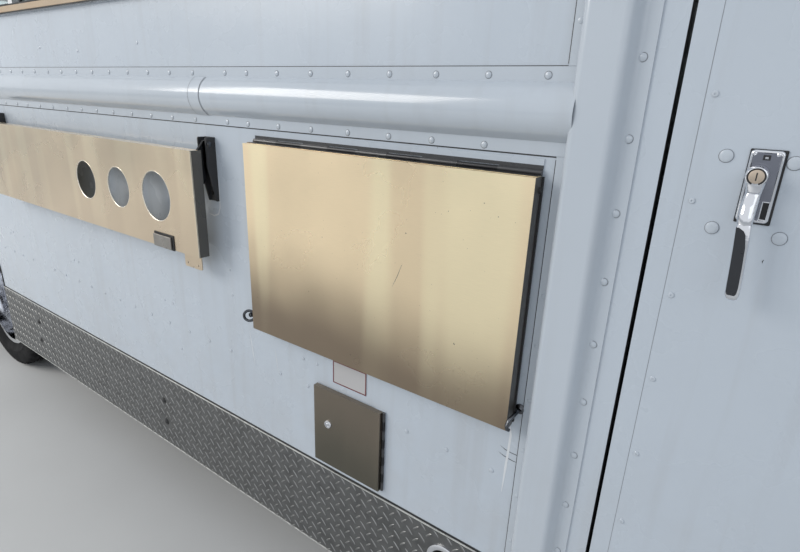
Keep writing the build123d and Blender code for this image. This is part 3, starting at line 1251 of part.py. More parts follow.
lamps = [Pos(nose_x(z), y, z) * Rot(0, 90, 0) * lamp(radius, 45, 0.2 * radius)
         for y, z, radius in lamp_places]
lamps += [Pos(REAR_X, side * TAIL_LAMP_Y, z) * Rot(0, -90, 0) * lamp(TAIL_LAMP_RADIUS, 32, 6)
          for side in (-1, 1) for z in TAIL_LAMP_Z]
for side in (-1, 1):
    for z in TAIL_LAMP_Z:
        rear_wall -= Pos(REAR_X, side * TAIL_LAMP_Y, z) * Rot(0, 90, 0) * Cylinder(
            TAIL_LAMP_RADIUS + RUNNING, 4 * WALL)
for y in (PLATE_Y - PLATE_PITCH / 2, PLATE_Y + PLATE_PITCH / 2):
    rear_wall -= Pos(REAR_X, y, PLATE_Z) * Rot(0, 90, 0) * Cylinder(PLATE_HOLE, 4 * WALL)

# Bumpers: a wrapped face on two brackets in front, and a step of bent sheet behind
bumper_x = (BUMPER_FRONT_X - 2 * BUMPER_WRAP, BUMPER_FRONT_X)
bumper_y = (-BUMPER_HALF, BUMPER_HALF)
bumper_face = rounded(bumper_x, bumper_y, BUMPER_CORNER)
bumper_face -= rounded(grown(bumper_x, -BUMPER_SHEET), grown(bumper_y, -BUMPER_SHEET),
                       BUMPER_CORNER - BUMPER_SHEET)
front_bumper = upward(bumper_face, (BUMPER_LOW, BUMPER_HIGH))
front_bumper &= box((BUMPER_FRONT_X - BUMPER_WRAP, BUMPER_FRONT_X), bumper_y, (BUMPER_LOW, BUMPER_HIGH))
bumper_bracket = box((RAIL_FRONT_X, BUMPER_FRONT_X - BUMPER_SHEET), bracket_y, bracket_z)
front_bumper += bumper_bracket
front_bumper += flipped(bumper_bracket)
STEP_ROWS = (
    (-BUMPER_FRONT_X, STEP_LOW, 12),
    (RAIL_REAR_X, STEP_LOW, 0),
    (RAIL_REAR_X, STEP_LOW + BUMPER_SHEET, 0),
    (BUMPER_SHEET - BUMPER_FRONT_X, STEP_LOW + BUMPER_SHEET, 0),
    (BUMPER_SHEET - BUMPER_FRONT_X, STEP_HIGH - BUMPER_SHEET, 0),
    (RAIL_REAR_X, STEP_HIGH - BUMPER_SHEET, 0),
    (RAIL_REAR_X, STEP_HIGH, 0),
    (-BUMPER_FRONT_X, STEP_HIGH, 12),
)
rear_bumper = across_body(outline(STEP_ROWS), (-STEP_HALF, STEP_HALF))
rear_bumper -= Pos(HITCH_X, 0, STEP_HIGH) * Cylinder(HITCH_RADIUS, 4 * BUMPER_SHEET)


# Mirrors on two-armed brackets ahead of the cab doors
def mirror_set():
    """The curb side's mirror, with its arms and feet as one piece."""
    head_y = (-HALF_WIDTH - MIRROR_REACH, -HALF_WIDTH - MIRROR_REACH + MIRROR_WIDTH)
    middle_y = sum(head_y) / 2
    head_x = (MIRROR_X, MIRROR_X + MIRROR_DEPTH)
    middle_x = sum(head_x) / 2
    body = along_body(rounded(head_y, MIRROR_HEAD_Z, 35), head_x)
    for foot_z, head_z in ((MIRROR_FEET_Z[0], MIRROR_HEAD_Z[0]), (MIRROR_FEET_Z[1], MIRROR_HEAD_Z[1])):
        foot = (MIRROR_FOOT_X, -HALF_WIDTH - 4, foot_z)
        elbow = (middle_x, middle_y, foot_z)
        body += box(grown((MIRROR_FOOT_X, MIRROR_FOOT_X), 22), (-HALF_WIDTH - 8, -HALF_WIDTH),
                    grown((foot_z, foot_z), 28))
        body += rod(foot, elbow, MIRROR_ARM)
        body += Pos(*elbow) * Sphere(MIRROR_ARM)
        body += rod(elbow, (middle_x, middle_y, (head_z + sum(MIRROR_HEAD_Z) / 2) / 2), MIRROR_ARM)
    return body


# Roof vents: place and cap radius
VENTS = (
    (-2900, 0, 210),
    (FAN_X, FAN_Y, 200),
    (700, 0, 210),
)


def vent(radius):
    """A mushroom vent standing on Z = 0."""
    rows = [
        (0, 0, 0),
        (radius * 0.72, 0, 0),
        (radius * 0.72, 14, 0),
        (radius * 0.6, 18, 6),
        (radius * 0.6, 70, 0),
        (radius, 70, 0),
        (radius, 92, 12),
        (radius * 0.6, 150, 70),
        (0, 160, 0),
    ]
    return Rot(90, 0, 0) * revolve(outline(rows), Axis.Y)


# Hood hinges
hood_fixed, hood_moving = hinge(80, HOOD_HINGE_RADIUS, 34, 3, 3)
for y in HOOD_HINGE_Y:
    place = Plane(origin=(HOOD_PIVOT[0], y, HOOD_PIVOT[1]), x_dir=(-cos(slope), 0, sin(slope)),
                  z_dir=(0, -1, 0))
    front_cowl += place * hood_fixed
    hood_leaf += place * hood_moving

# Every node
save("frame_rails", frame_rail, flipped(frame_rail))
save("cross_members", *cross_members)
save("front_axle", front_axle)
save("rear_axle", rear_axle)
save("drive_train", drive_train)
save("exhaust", exhaust)
save("tanks", fuel_tank, water_tank)
save("floor_pan", floor_pan)
save("wall_curb", wall_curb)
save("wall_street", wall_street)
save("rear_wall", rear_wall)
save("roof_shell", roof_shell)
save("front_cowl", front_cowl)
save("fixed_glass", glass_layer & screen, glass_layer & quarter, *serving_glass)
save("belt_and_posts", belt_rail, flipped(belt_rail), post_cover, flipped(post_cover))
save("skirts", skirt_curb_front, flipped(skirt_curb_front), skirt_rear, flipped(skirt_rear))
save("serving_frame", serving_frame)
save("grille", grille)
save("lamps", *lamps)
save("bumpers", front_bumper, rear_bumper)
save("mirrors", mirror_set(), flipped(mirror_set()))
save("roof_vents", *[Pos(x, y, ROOF_Z) * vent(radius) for x, y, radius in VENTS])
save("driver_seat", driver_seat)
save("dash", dash)
save("kitchen", *kitchen)
save("shelf_brackets", *shelf_brackets)
save("knuckle_left", knuckle(True))
save("knuckle_right", knuckle(False))
save("tie_rod", tie_rod)
for side, turn in (("left", lambda shape: shape), ("right", flipped)):
    save(f"rim_front_{side}", turn(front_place * front_rim))
    save(f"tyre_front_{side}", turn(front_place * one_tyre))
    save(f"rims_rear_{side}", turn(rear_place * rear_rims))
    save(f"tyres_rear_{side}", turn(rear_place * one_tyre),
         turn(rear_place * Pos(0, -DUAL_SPACING, 0) * one_tyre))
save("cab_door_curb", cab_leaf)
save("cab_door_street", flipped(cab_leaf))
save("door_glass_curb", cab_pane)
save("door_glass_street", flipped(cab_pane))
save("door_handle_curb", handle_curb)
save("door_handle_street", flipped(handle_curb))
save("rear_door", rear_leaf)
save("rear_door_glass", rear_pane)
save("rear_door_handle", handle_rear)
save("shelf_plain", shelf_plain)
save("shelf_cups", shelf_cups)
save("fuel_door", fuel_door)
save("hood", hood_leaf)
save("steering_wheel", steering_wheel)
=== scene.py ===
import json
import math

import bpy
from mathutils import Matrix, Vector

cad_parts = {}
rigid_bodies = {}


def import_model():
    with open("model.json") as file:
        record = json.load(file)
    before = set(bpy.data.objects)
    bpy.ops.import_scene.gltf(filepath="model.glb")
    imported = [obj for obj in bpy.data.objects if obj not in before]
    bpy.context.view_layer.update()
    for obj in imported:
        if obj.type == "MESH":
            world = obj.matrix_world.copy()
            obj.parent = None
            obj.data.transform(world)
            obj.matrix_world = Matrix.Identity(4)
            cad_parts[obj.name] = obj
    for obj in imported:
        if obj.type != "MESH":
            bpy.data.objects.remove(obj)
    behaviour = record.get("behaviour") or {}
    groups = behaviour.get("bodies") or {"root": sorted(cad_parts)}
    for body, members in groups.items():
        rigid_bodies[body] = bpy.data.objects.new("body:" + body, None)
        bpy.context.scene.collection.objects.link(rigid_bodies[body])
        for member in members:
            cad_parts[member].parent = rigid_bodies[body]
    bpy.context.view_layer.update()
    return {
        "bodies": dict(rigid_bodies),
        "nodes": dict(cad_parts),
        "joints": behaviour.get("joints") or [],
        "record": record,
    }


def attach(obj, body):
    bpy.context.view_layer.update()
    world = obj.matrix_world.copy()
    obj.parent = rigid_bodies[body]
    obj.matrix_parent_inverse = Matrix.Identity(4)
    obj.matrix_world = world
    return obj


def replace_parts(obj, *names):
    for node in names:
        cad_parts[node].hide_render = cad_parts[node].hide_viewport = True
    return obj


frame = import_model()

nodes = frame["nodes"]

# Places below are in millimetres, in the frame of the model
MM = 0.001

# Camera, at the photograph's place
CAMERA_AT = (1.756, -2.080, 1.650)
CAMERA_YAW = -34.7504
CAMERA_PITCH = -18.8588
CAMERA_ROLL = 2.20425
CAMERA_LENS = 23.34
SENSOR_WIDTH = 36

# Body
WALL_Y = -1180
REAR_X = -3720
REAR_AXLE_X = -1850
FRONT_AXLE_X = 2980


# Materials

class Shader:
    """A material with a principled shader, and short calls for its nodes."""

    def __init__(self, name, color, roughness, metallic=0.0, **extra):
        self.material = bpy.data.materials.new(name)
        self.material.use_nodes = True
        self.tree = self.material.node_tree
        self.surface = self.tree.nodes["Principled BSDF"]
        self.surface.inputs["Base Color"].default_value = (*color, 1)
        self.surface.inputs["Roughness"].default_value = roughness
        self.surface.inputs["Metallic"].default_value = metallic
        for socket, value in extra.items():
            self.surface.inputs[socket.replace("_", " ").title().replace("Ior", "IOR")].default_value = value
        self.place = self.tree.nodes.new("ShaderNodeTexCoord").outputs["Object"]
        self.last_bump = None

    def node(self, kind, inputs=None, **settings):
        made = self.tree.nodes.new("ShaderNode" + kind)
        for key, value in settings.items():
            setattr(made, key, value)
        for key, value in (inputs or {}).items():
            if isinstance(value, bpy.types.NodeSocket):
                self.tree.links.new(value, made.inputs[key])
            else:
                made.inputs[key].default_value = value
        return made

    def link(self, socket, value):
        self.tree.links.new(value, self.surface.inputs[socket])

    def math(self, operation, a, b=0.0, clamp=False):
        return self.node("Math", {0: a, 1: b}, operation=operation, use_clamp=clamp).outputs[0]

    def stretched(self, scale, turn=(0, 0, 0)):
        """Object coordinates scaled by a different amount on each axis."""
        return self.node("Mapping", {"Vector": self.place, "Scale": scale, "Rotation": turn}).outputs[0]

    def noise(self, scale, detail=3.0, stretch=None, roughness=0.5):
        vector = self.stretched(stretch) if stretch else self.place
        return self.node("TexNoise", {"Vector": vector, "Scale": scale, "Detail": detail,
                                      "Roughness": roughness}).outputs["Fac"]

    def span(self, value, from_low, from_high, to_low=0.0, to_high=1.0, ease="LINEAR"):
        """A value moved from one range to another, kept inside it."""
        ends = {"From Min": from_low, "From Max": from_high, "To Min": to_low, "To Max": to_high}
        return self.node("MapRange", {"Value": value, **ends}, interpolation_type=ease).outputs[0]

    def axis(self, index):
        return self.node("SeparateXYZ", {0: self.place}).outputs[index]

    def inside(self, limits):
        """1 where the place lies within the limits, in metres for each axis by name, and 0 elsewhere."""
        mask = 1.0
        for name, (low, high) in limits.items():
            value = self.axis("xyz".index(name))
            above = self.math("GREATER_THAN", value, low)
            below = self.math("LESS_THAN", value, high)
            mask = self.math("MULTIPLY", mask, self.math("MULTIPLY", above, below))
        return mask

    def dots(self, cell, radius, share):
        """Small round spots, at most one to a cell of this size in metres, of which only a share shows."""
        cells = self.node("TexVoronoi", {"Vector": self.place, "Scale": 1 / cell}).outputs
        near = self.math("LESS_THAN", cells["Distance"], radius / cell)
        pick = self.node("SeparateColor", {0: cells["Color"]}).outputs[0]
        return self.math("MULTIPLY", near, self.math("LESS_THAN", pick, share))

    def mix(self, share, a, b):
        """Two colours mixed by a share."""
        made = self.node("Mix", {"Factor": share}, data_type="RGBA")
        for name, value in (("A", a), ("B", b)):
            socket = [s for s in made.inputs if s.name == name and s.type == "RGBA"][0]
            if isinstance(value, bpy.types.NodeSocket):
                self.tree.links.new(value, socket)
            else:
                socket.default_value = (*value, 1)
        return [s for s in made.outputs if s.type == "RGBA"][0]

    def bump(self, height, distance, strength=1.0):
        inputs = {"Height": height, "Distance": distance, "Strength": strength}
        if self.last_bump:
            inputs["Normal"] = self.last_bump
        self.last_bump = self.node("Bump", inputs).outputs[0]
        self.link("Normal", self.last_bump)


def painted(name, color, roughness, dirt_and_painted_shade, wave=0.0006, patches=()):
    """Gloss paint on sheet: cloudy tone, darker and browner low down (dust, with painted reflection of the
    ground), faint upright streaks (grime, with painted reflection bands of the warped panels), slightly wavy,
    with bare patches.
    """
    s = Shader(name, color, roughness, Coat_Weight=0.25, Coat_Roughness=0.08)
    shade = s.span(s.noise(1.7, 4), 0.3, 0.7)
    tone = s.mix(shade, [c * 0.965 for c in color], [min(1, c * 1.03) for c in color])
    # Upright dark streaks: grime, and painted reflection bands of the warped panels
    streaks_and_reflection_bands = s.span(s.noise(3.0, 5, stretch=(9, 9, 0.5)), 0.52, 0.75, 0, 0.35 * dirt_and_painted_shade)
    # Darker and browner from 1.15 m down to 0.62 m: dust, and painted reflection of the darker ground
    low = s.span(s.axis(2), 1.15, 0.62, 0, 1)
    dust = s.math("MULTIPLY", s.span(s.noise(14, 6), 0.35, 0.75), low)
    tone = s.mix(streaks_and_reflection_bands, tone, (0.36, 0.355, 0.35))
    tone = s.mix(s.math("MULTIPLY", dust, 0.35 * dirt_and_painted_shade), tone, (0.40, 0.37, 0.33))
    for limits, patch_color in patches:
        tone = s.mix(s.inside(limits), tone, patch_color)
    s.link("Base Color", tone)
    s.link("Roughness", s.span(s.noise(6, 4), 0.3, 0.7, roughness * 0.8, roughness * 1.35))
    s.bump(s.noise(2.6, 1), wave * 5)
    s.bump(s.noise(420, 2), 0.00004)
    return s.material


def stainless_sheet(name, light, dark, reflection_fade, tilt=0.0, roughness=0.30, metallic=1.0, patches=()):
    """Stainless sheet with a painted reflection, light above and fading to a darker foot, with soft darker
    and lighter upright bands, fine grain and small specks.
    """
    s = Shader(name, light, roughness, metallic)
    # Painted reflection: light at the top and darker at the foot, the fade tilted along X and made wavy
    height = s.math("ADD", s.axis(2), s.math("MULTIPLY", s.axis(0), tilt))
    height = s.math("ADD", height, s.span(s.noise(3.0, 2), 0.3, 0.7, -0.04, 0.04))
    level = s.span(height, *reflection_fade, ease="SMOOTHSTEP")
    tone = s.mix(level, dark, light)
    # Soft upright lobes, darker and lighter: painted reflection bands
    reflected_lobes = s.span(s.noise(1.0, 2, stretch=(3.6, 3.6, 0.8)), 0.35, 0.65)
    tone = s.mix(s.math("MULTIPLY", reflected_lobes, 0.22), tone, dark)
    reflected_band = s.span(s.noise(1.0, 1, stretch=(11, 11, 0.6)), 0.47, 0.62, ease="SMOOTHSTEP")
    reflected_band = s.math("MULTIPLY", reflected_band, s.span(level, 0, 1, 0.05, 0.45))
    tone = s.mix(reflected_band, tone, [min(1, c * 1.16) for c in light])
    grain = s.noise(9, 3, stretch=(4, 4, 260))
    tone = s.mix(s.span(grain, 0.4, 0.6, 0, 0.05), tone, dark)
    specks = s.math("MAXIMUM", s.dots(0.034, 0.0013, 0.5), s.dots(0.013, 0.0007, 0.35))
    tone = s.mix(s.math("MULTIPLY", specks, 0.55), tone, [c * 0.3 for c in dark])
    for limits, patch_color in patches:
        tone = s.mix(s.inside(limits), tone, patch_color)
    s.link("Base Color", tone)
    s.link("Roughness", s.span(s.noise(5, 4), 0.3, 0.7, roughness * 0.85, roughness * 1.25))
    s.bump(s.noise(1.0, 1, stretch=(5, 5, 1.2)), 0.003)
    s.bump(grain, 0.00003)
    return s.material


def plain_metal(name, color, roughness, blotch=0.25, metallic=1.0, scale=30):
    """Bare or plated metal with uneven polish and grime."""
    s = Shader(name, color, roughness, metallic=metallic)
    grime = s.span(s.noise(scale, 6), 0.45, 0.75)
    s.link("Base Color", s.mix(s.math("MULTIPLY", grime, blotch), color, [c * 0.35 for c in color]))
    s.link("Roughness", s.span(s.noise(scale * 0.6, 4), 0.3, 0.7, roughness * 0.75, min(1, roughness * 1.5)))
    s.bump(s.noise(scale * 12, 3), 0.00006)
    return s.material


def moulded(name, color, roughness, grain=0.00012, dust=0.12, scale=900, shine=0.5):
    """Plastic, rubber or vinyl with a fine grain and some dust."""
    s = Shader(name, color, roughness, Specular_IOR_Level=shine)
    cloud = s.span(s.noise(7, 6), 0.4, 0.75)
    s.link("Base Color", s.mix(s.math("MULTIPLY", cloud, dust), color, (0.30, 0.28, 0.25)))
    s.link("Roughness", s.span(s.noise(16, 4), 0.3, 0.7, roughness * 0.85, min(1, roughness * 1.15)))
    s.bump(s.noise(scale, 2), grain)
    return s.material


def clear(name, color, roughness=0.02, ior=1.45):
    """Glass with faint smears."""
    s = Shader(name, color, roughness, IOR=ior, Transmission_Weight=1.0)
    s.link("Roughness", s.span(s.noise(5, 6), 0.5, 0.8, roughness, roughness + 0.05))
    return s.material


# White paint given a greyer, bluer colour than its own: painted shade of the open sky. The trim and roof
# colours below are tinted the same way.
PAINT_IN_SKY_SHADE = (0.505, 0.555, 0.612)
HINGE_STEEL = (0.045, 0.045, 0.047)
# Dark grey on the shelves' sideways end returns: painted shade
RETURN_SHADE_GREY = (0.14, 0.132, 0.122)
ARM_BLACK = (0.016, 0.016, 0.017)
CURB_HINGES = (
    ({"x": (0.660, 1.438), "y": (-1.25, -1.1815), "z": (1.5270, 1.5485)}, HINGE_STEEL),
    ({"x": (1.0985, 1.1120), "y": (-1.25, -1.1815), "z": (0.670, 0.915)}, HINGE_STEEL),
)
SHELF_PATCHES = (
    ({"x": (1.4325, 1.50)}, RETURN_SHADE_GREY),
    ({"z": (1.5315, 1.60)}, HINGE_STEEL),
)
CUPS_PATCHES = (
    ({"x": (0.4895, 0.60)}, RETURN_SHADE_GREY),
    ({"y": (-1.2205, -1.0)}, ARM_BLACK),
    ({"z": (1.4995, 1.60)}, ARM_BLACK),
)
FUEL_PATCHES = (({"x": (1.0985, 1.13)}, HINGE_STEEL),)
white = painted("body_paint", PAINT_IN_SKY_SHADE, 0.26, 0.55)
curb_white = painted("curb_paint", PAINT_IN_SKY_SHADE, 0.26, 0.55, patches=CURB_HINGES)
trim_white = painted("trim_paint", (0.505, 0.55, 0.60), 0.16, 0.35, wave=0.0002)
roof_white = painted("roof_paint", (0.52, 0.55, 0.59), 0.3, 1.3)
# Each sheet's light and dark colours and fade heights are a painted reflection, lighter above and darker
# below; the cup shelf's tilt also lightens its left end.
shelf_steel = stainless_sheet("shelf_stainless", (0.97, 0.79, 0.53), (0.25, 0.195, 0.14), (1.120, 1.400),
                              tilt=0.07, metallic=0.72, patches=SHELF_PATCHES)
cups_steel = stainless_sheet("cups_stainless", (0.92, 0.76, 0.55), (0.62, 0.51, 0.38), (1.15, 1.60),
                             tilt=-0.16, roughness=0.26, patches=CUPS_PATCHES)
fuel_steel = stainless_sheet("fuel_door_stainless", (0.235, 0.20, 0.16), (0.15, 0.14, 0.112), (0.67, 0.92),
                             roughness=0.36, patches=FUEL_PATCHES)
kitchen_steel = stainless_sheet("kitchen_stainless", (0.56, 0.55, 0.53), (0.42, 0.41, 0.40), (0.8, 1.7))
# Paler steel for the cup shelf's rolled edges: painted highlight
edge_highlight_steel = plain_metal("edge_highlight_stainless", (0.86, 0.80, 0.68), 0.22, 0.1)
clip_steel = plain_metal("clip_steel", (0.30, 0.285, 0.265), 0.35, 0.2)
# One tread plate in three colours: the lugs and the rolled edges are lighter than the sheet, a painted
# highlight
tread_base = plain_metal("tread_base", (0.185, 0.187, 0.186), 0.44, 0.45, scale=22)
tread_lug_highlight = plain_metal("tread_lug", (0.29, 0.29, 0.285), 0.38, 0.2, scale=60)
tread_edge_highlight = plain_metal("tread_edge_highlight", (0.66, 0.66, 0.63), 0.30, 0.3, scale=40)
chrome = plain_metal("chrome", (0.74, 0.75, 0.78), 0.06, 0.08)
dark_inlay = plain_metal("dark_inlay", (0.030, 0.032, 0.037), 0.28, 0.1, metallic=0.3)
plate_floor = plain_metal("handle_floor", (0.24, 0.25, 0.29), 0.20, 0.2)
mirror_silver = plain_metal("mirror_silver", (0.70, 0.72, 0.74), 0.03, 0.03)
alloy = plain_metal("alloy", (0.52, 0.53, 0.54), 0.30, 0.2)
window_alloy = plain_metal("window_alloy", (0.58, 0.585, 0.59), 0.35, 0.15)
chassis = plain_metal("chassis_paint", (0.028, 0.028, 0.030), 0.45, 0.1, metallic=0.0, scale=12)
cast = plain_metal("cast_steel", (0.10, 0.09, 0.08), 0.65, 0.5, metallic=0.6, scale=18)
rusty = plain_metal("exhaust_steel", (0.24, 0.17, 0.12), 0.60, 0.6, metallic=0.7, scale=14)
rubber = moulded("rubber", (0.016, 0.016, 0.017), 0.66, dust=0.05)
tyre_rubber = moulded("tyre_rubber", (0.009, 0.009, 0.010), 0.82, dust=0.03, scale=500, shine=0.2)
plastic = moulded("black_plastic", (0.020, 0.020, 0.021), 0.42)
vinyl = moulded("seat_vinyl", (0.045, 0.046, 0.05), 0.5, grain=0.0004, scale=420)
cab_grey = moulded("cab_grey", (0.13, 0.13, 0.135), 0.55)
glass = clear("glass", (0.80, 0.87, 0.86))

NODE_MATERIALS = {
    "frame_rails": chassis, "cross_members": chassis, "front_axle": cast, "rear_axle": cast,
    "drive_train": cast, "exhaust": rusty, "tanks": alloy, "floor_pan": chassis,
    "wall_curb": curb_white, "wall_street": white, "rear_wall": white, "roof_shell": roof_white,
    "front_cowl": white, "fixed_glass": glass, "belt_and_posts": trim_white, "skirts": tread_base,
    "serving_frame": window_alloy, "grille": plastic, "lamps": glass, "bumpers": chassis,
    "mirrors": plastic, "roof_vents": alloy, "driver_seat": vinyl, "dash": cab_grey,
    "kitchen": kitchen_steel, "shelf_brackets": chassis, "knuckle_left": cast, "knuckle_right": cast,
    "tie_rod": cast, "cab_door_curb": white, "cab_door_street": white, "door_glass_curb": glass,
    "door_glass_street": glass, "door_handle_curb": chrome, "door_handle_street": chrome,
    "rear_door": white, "rear_door_glass": glass, "rear_door_handle": chrome,
    "shelf_plain": shelf_steel, "shelf_cups": cups_steel, "fuel_door": fuel_steel, "hood": white,
    "steering_wheel": plastic,
    "rim_front_left": chrome, "rim_front_right": chrome, "rims_rear_left": chrome,
    "rims_rear_right": chrome, "tyre_front_left": tyre_rubber, "tyre_front_right": tyre_rubber,
    "tyres_rear_left": tyre_rubber, "tyres_rear_right": tyre_rubber,
}
for node_name, material in NODE_MATERIALS.items():
    mesh = nodes[node_name].data
    mesh.materials.clear()
    mesh.materials.append(material)


# Mesh making, in millimetres

class Mesh:
    """Points and faces that become one piece."""

    def __init__(self):
        self.points = []
        self.faces = []

    def add(self, points, faces):
        base = len(self.points)
        self.points += [tuple(p) for p in points]
        self.faces += [tuple(base + i for i in face) for face in faces]

    def mirrored(self):
        """The same mesh on the other side of the vehicle."""
        other = Mesh()
        other.points = [(x, -y, z) for x, y, z in self.points]
        other.faces = [face[::-1] for face in self.faces]
        return other

    def join(self, other):
        self.add(other.points, other.faces)
        return self


def axes(normal):
    """Two directions square to a normal, so that first x second = normal."""
    n = Vector(normal).normalized()
    first = Vector((0, 0, 1)).cross(n) if abs(n.z) < 0.9 else Vector((1, 0, 0))
    first = (first - n * first.dot(n)).normalized()
    return first, n.cross(first), n


def quads_between(count, steps, closed=False):
    """Faces between rings of points that follow each other in one list."""
    faces = []
    for i in range(count if closed else count - 1):
        j = (i + 1) % count
        for k in range(steps):
            m = (k + 1) % steps
            faces.append((i * steps + k, i * steps + m, j * steps + m, j * steps + k))
    return faces


def lathe(mesh, at, normal, rows, segments=24, arc=360.0):
    """A turned form from rows of (radius, height), outward along the normal."""
    first, second, n = axes(normal)
    at = Vector(at)
    whole = arc >= 360
    steps = segments if whole else segments + 1
    points, index = [], []
    for radius, height in rows:
        if radius < 1e-6:
            index.append([len(points)] * steps)
            points.append(at + n * height)
            continue
        index.append(list(range(len(points), len(points) + steps)))
        for k in range(steps):
            turn = math.radians(arc) * k / segments
            points.append(at + (first * math.cos(turn) + second * math.sin(turn)) * radius + n * height)
    faces = []
    for low, high in zip(index, index[1:]):
        for k in range(segments):
            m = (k + 1) % steps
            face = [low[k], low[m], high[m], high[k]]
            face = [v for i, v in enumerate(face) if v != face[i - 1]]
            if len(face) > 2:
                faces.append(face)
    mesh.add(points, faces)


def rivet(mesh, at, normal, radius=6.0, height=2.6, segments=10):
    """A round head that rises from its seat."""
    lathe(mesh, at, normal, ((radius, -0.2), (radius * 0.93, height * 0.45), (radius * 0.6, height * 0.86),
                             (0, height)), segments)


def screw(mesh, at, normal, radius=5.0):
    """A low pan head with a cross cut that shows as a small dimple."""
    lathe(mesh, at, normal, ((radius, -0.2), (radius, 0.8), (radius * 0.8, 1.7), (radius * 0.32, 2.0),
                             (radius * 0.26, 1.1), (0, 0.9)), 12)


def hex_head(mesh, at, normal, across=13.0, height=6.0):
    """A six-sided bolt head on a washer."""
    lathe(mesh, at, normal, ((across * 0.78, 0), (across * 0.78, 1.4), (across * 0.5, 1.5)), 20)
    lathe(mesh, at, normal, ((across * 0.56, 1.4), (across * 0.56, height), (across * 0.46, height + 0.8),
                             (0, height + 0.8)), 6)


def slab(mesh, low, high, edge=1.0):
    """A block with its edges broken."""
    (x0, y0, z0), (x1, y1, z1) = low, high
    points, names = [], {}
    for axis in range(3):
        for sx in (0, 1):
            for sy in (0, 1):
                for sz in (0, 1):
                    corner = [(x0, x1)[sx], (y0, y1)[sy], (z0, z1)[sz]]
                    for other, side in enumerate((sx, sy, sz)):
                        if other != axis:
                            corner[other] += edge if side == 0 else -edge
                    names[axis, sx, sy, sz] = len(points)
                    points.append(corner)
    faces = []
    for axis in range(3):
        for side in (0, 1):
            ring = []
            for a, b in ((0, 0), (1, 0), (1, 1), (0, 1)):
                key = [0, 0, 0]
                key[axis] = side
                key[(axis + 1) % 3] = a
                key[(axis + 2) % 3] = b
                ring.append(names[(axis, *key)])
            faces.append(ring if side else ring[::-1])
    for axis in range(3):
        a_axis, b_axis = (axis + 1) % 3, (axis + 2) % 3
        for a in (0, 1):
            for b in (0, 1):
                low_key, high_key = [0, 0, 0], [0, 0, 0]
                low_key[a_axis] = high_key[a_axis] = a
                low_key[b_axis] = high_key[b_axis] = b
                high_key[axis] = 1
                ring = [names[(a_axis, *low_key)], names[(a_axis, *high_key)],
                        names[(b_axis, *high_key)], names[(b_axis, *low_key)]]
                faces.append(ring if a == b else ring[::-1])
    for sx in (0, 1):
        for sy in (0, 1):
            for sz in (0, 1):
                ring = [names[(axis, sx, sy, sz)] for axis in range(3)]
                faces.append(ring if (sx + sy + sz) % 2 else ring[::-1])
    mesh.add(points, faces)


def tube(mesh, points, radius, segments=10, closed=False):
    """A round bar along points."""
    points = [Vector(p) for p in points]
    count = len(points)
    rings = []
    side = None
    for i, p in enumerate(points):
        before = points[i - 1] if i or closed else p
        after = points[(i + 1) % count] if i < count - 1 or closed else p
        run = (after - before).normalized()
        if side is None:
            side = axes(run)[0]
        side = (side - run * side.dot(run)).normalized()
        other = run.cross(side)
        rings.append([p + (side * math.cos(t) + other * math.sin(t)) * radius
                      for t in (2 * math.pi * k / segments for k in range(segments))])
    flat = [q for ring in rings for q in ring]
    faces = quads_between(count, segments, closed)
    if not closed:
        faces.append(tuple(range(segments))[::-1])
        faces.append(tuple((count - 1) * segments + k for k in range(segments)))
    mesh.add(flat, faces)


def piece(name, mesh, material, body="root", angle=35):
    """Makes the object, gives it its material and lets it ride on its body."""
    data = bpy.data.meshes.new(name)
    data.from_pydata([(x * MM, y * MM, z * MM) for x, y, z in mesh.points], [], mesh.faces)
    data.validate()
    data.shade_smooth()
    data.set_sharp_from_angle(angle=math.radians(angle))
    data.materials.append(material)
    made = bpy.data.objects.new(name, data)
    bpy.context.scene.collection.objects.link(made)
    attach(made, body)
    return made


# Fasteners on the walls, posts and doors: lists of X, or (X, Z), and heads as (radius, height)

CURB = (0, -1, 0)
FRONT = (1, 0, 0)
BACK = (-1, 0, 0)
FLANGE_Y = WALL_Y - 3
BELT_TOP_ROW = (-771, -664, -554, -445, -339, -231, -122, -14, 96, 207, 318, 427, 565, 649)
BELT_LOW_ROW = (-883, -769, -671, -561, -452, -339, -234, -128, -21, 91, 200, 311, 422, 562, 645, 757, 867,
                979, 1091, 1197, 1312)
WALL_ROW = (-1143, -1045, -933, -716, -607, -491, -387, -277, -166, -60, 51, 164, 280, 389, 499, 723, 834,
            1169, 1281, 1396)
STRAY_RIVETS = ((-505, 973), (-467, 972), (149, 965), (198, 965), (221, 802), (-1143, 976), (-1106, 987),
                (521, 1156), (526, 1078), (819, 964), (871, 965), (-485, 1776), (164, 1777), (-205, 1761))
SEAM_ROW = (490, 610, 729, 852, 969, 1087, 1209, 1311, 1777, 2010, 2240, 2470, 2640)
BELT_TOP_Z = 1696
BELT_LOW_Z = 1575
WALL_ROW_Z = 884
ROWS_FROM = -3600
ROWS_TO = 1440
BELT_LOW_TO = 1400
BELT_RIVET = (6.2, 2.6)
WALL_RIVET = (6, 2.4)
STRAY_RIVET = (5, 2.0)
SEAM_RIVET = (5, 1.8)
POST_RIVET = (6.5, 3.4)
SEAM_ROW_X = 1461
RIVET_PITCH = 110
ARCH_CLEAR = 480
POST_ROW_X = 1562
POST_ROW_Z = 408.8
POST_PITCH = 119.4
POST_RIVETS = 19
DOOR_SCREW_X = 1667
DOOR_SCREW_Z = 596.4
DOOR_SCREW_PITCH = 153.8
DOOR_SCREWS = 12
DOOR_SCREW = 4.8
DOOR_BOLTS = ((1698, 1589), (1780, 1586), (1701, 1483), (1786, 1481))
DOOR_BOLT_HEAD = ((9.2, -0.2), (9.2, 0.7), (8.7, 1.9), (6.6, 2.8), (3.6, 3.15), (0, 3.2))


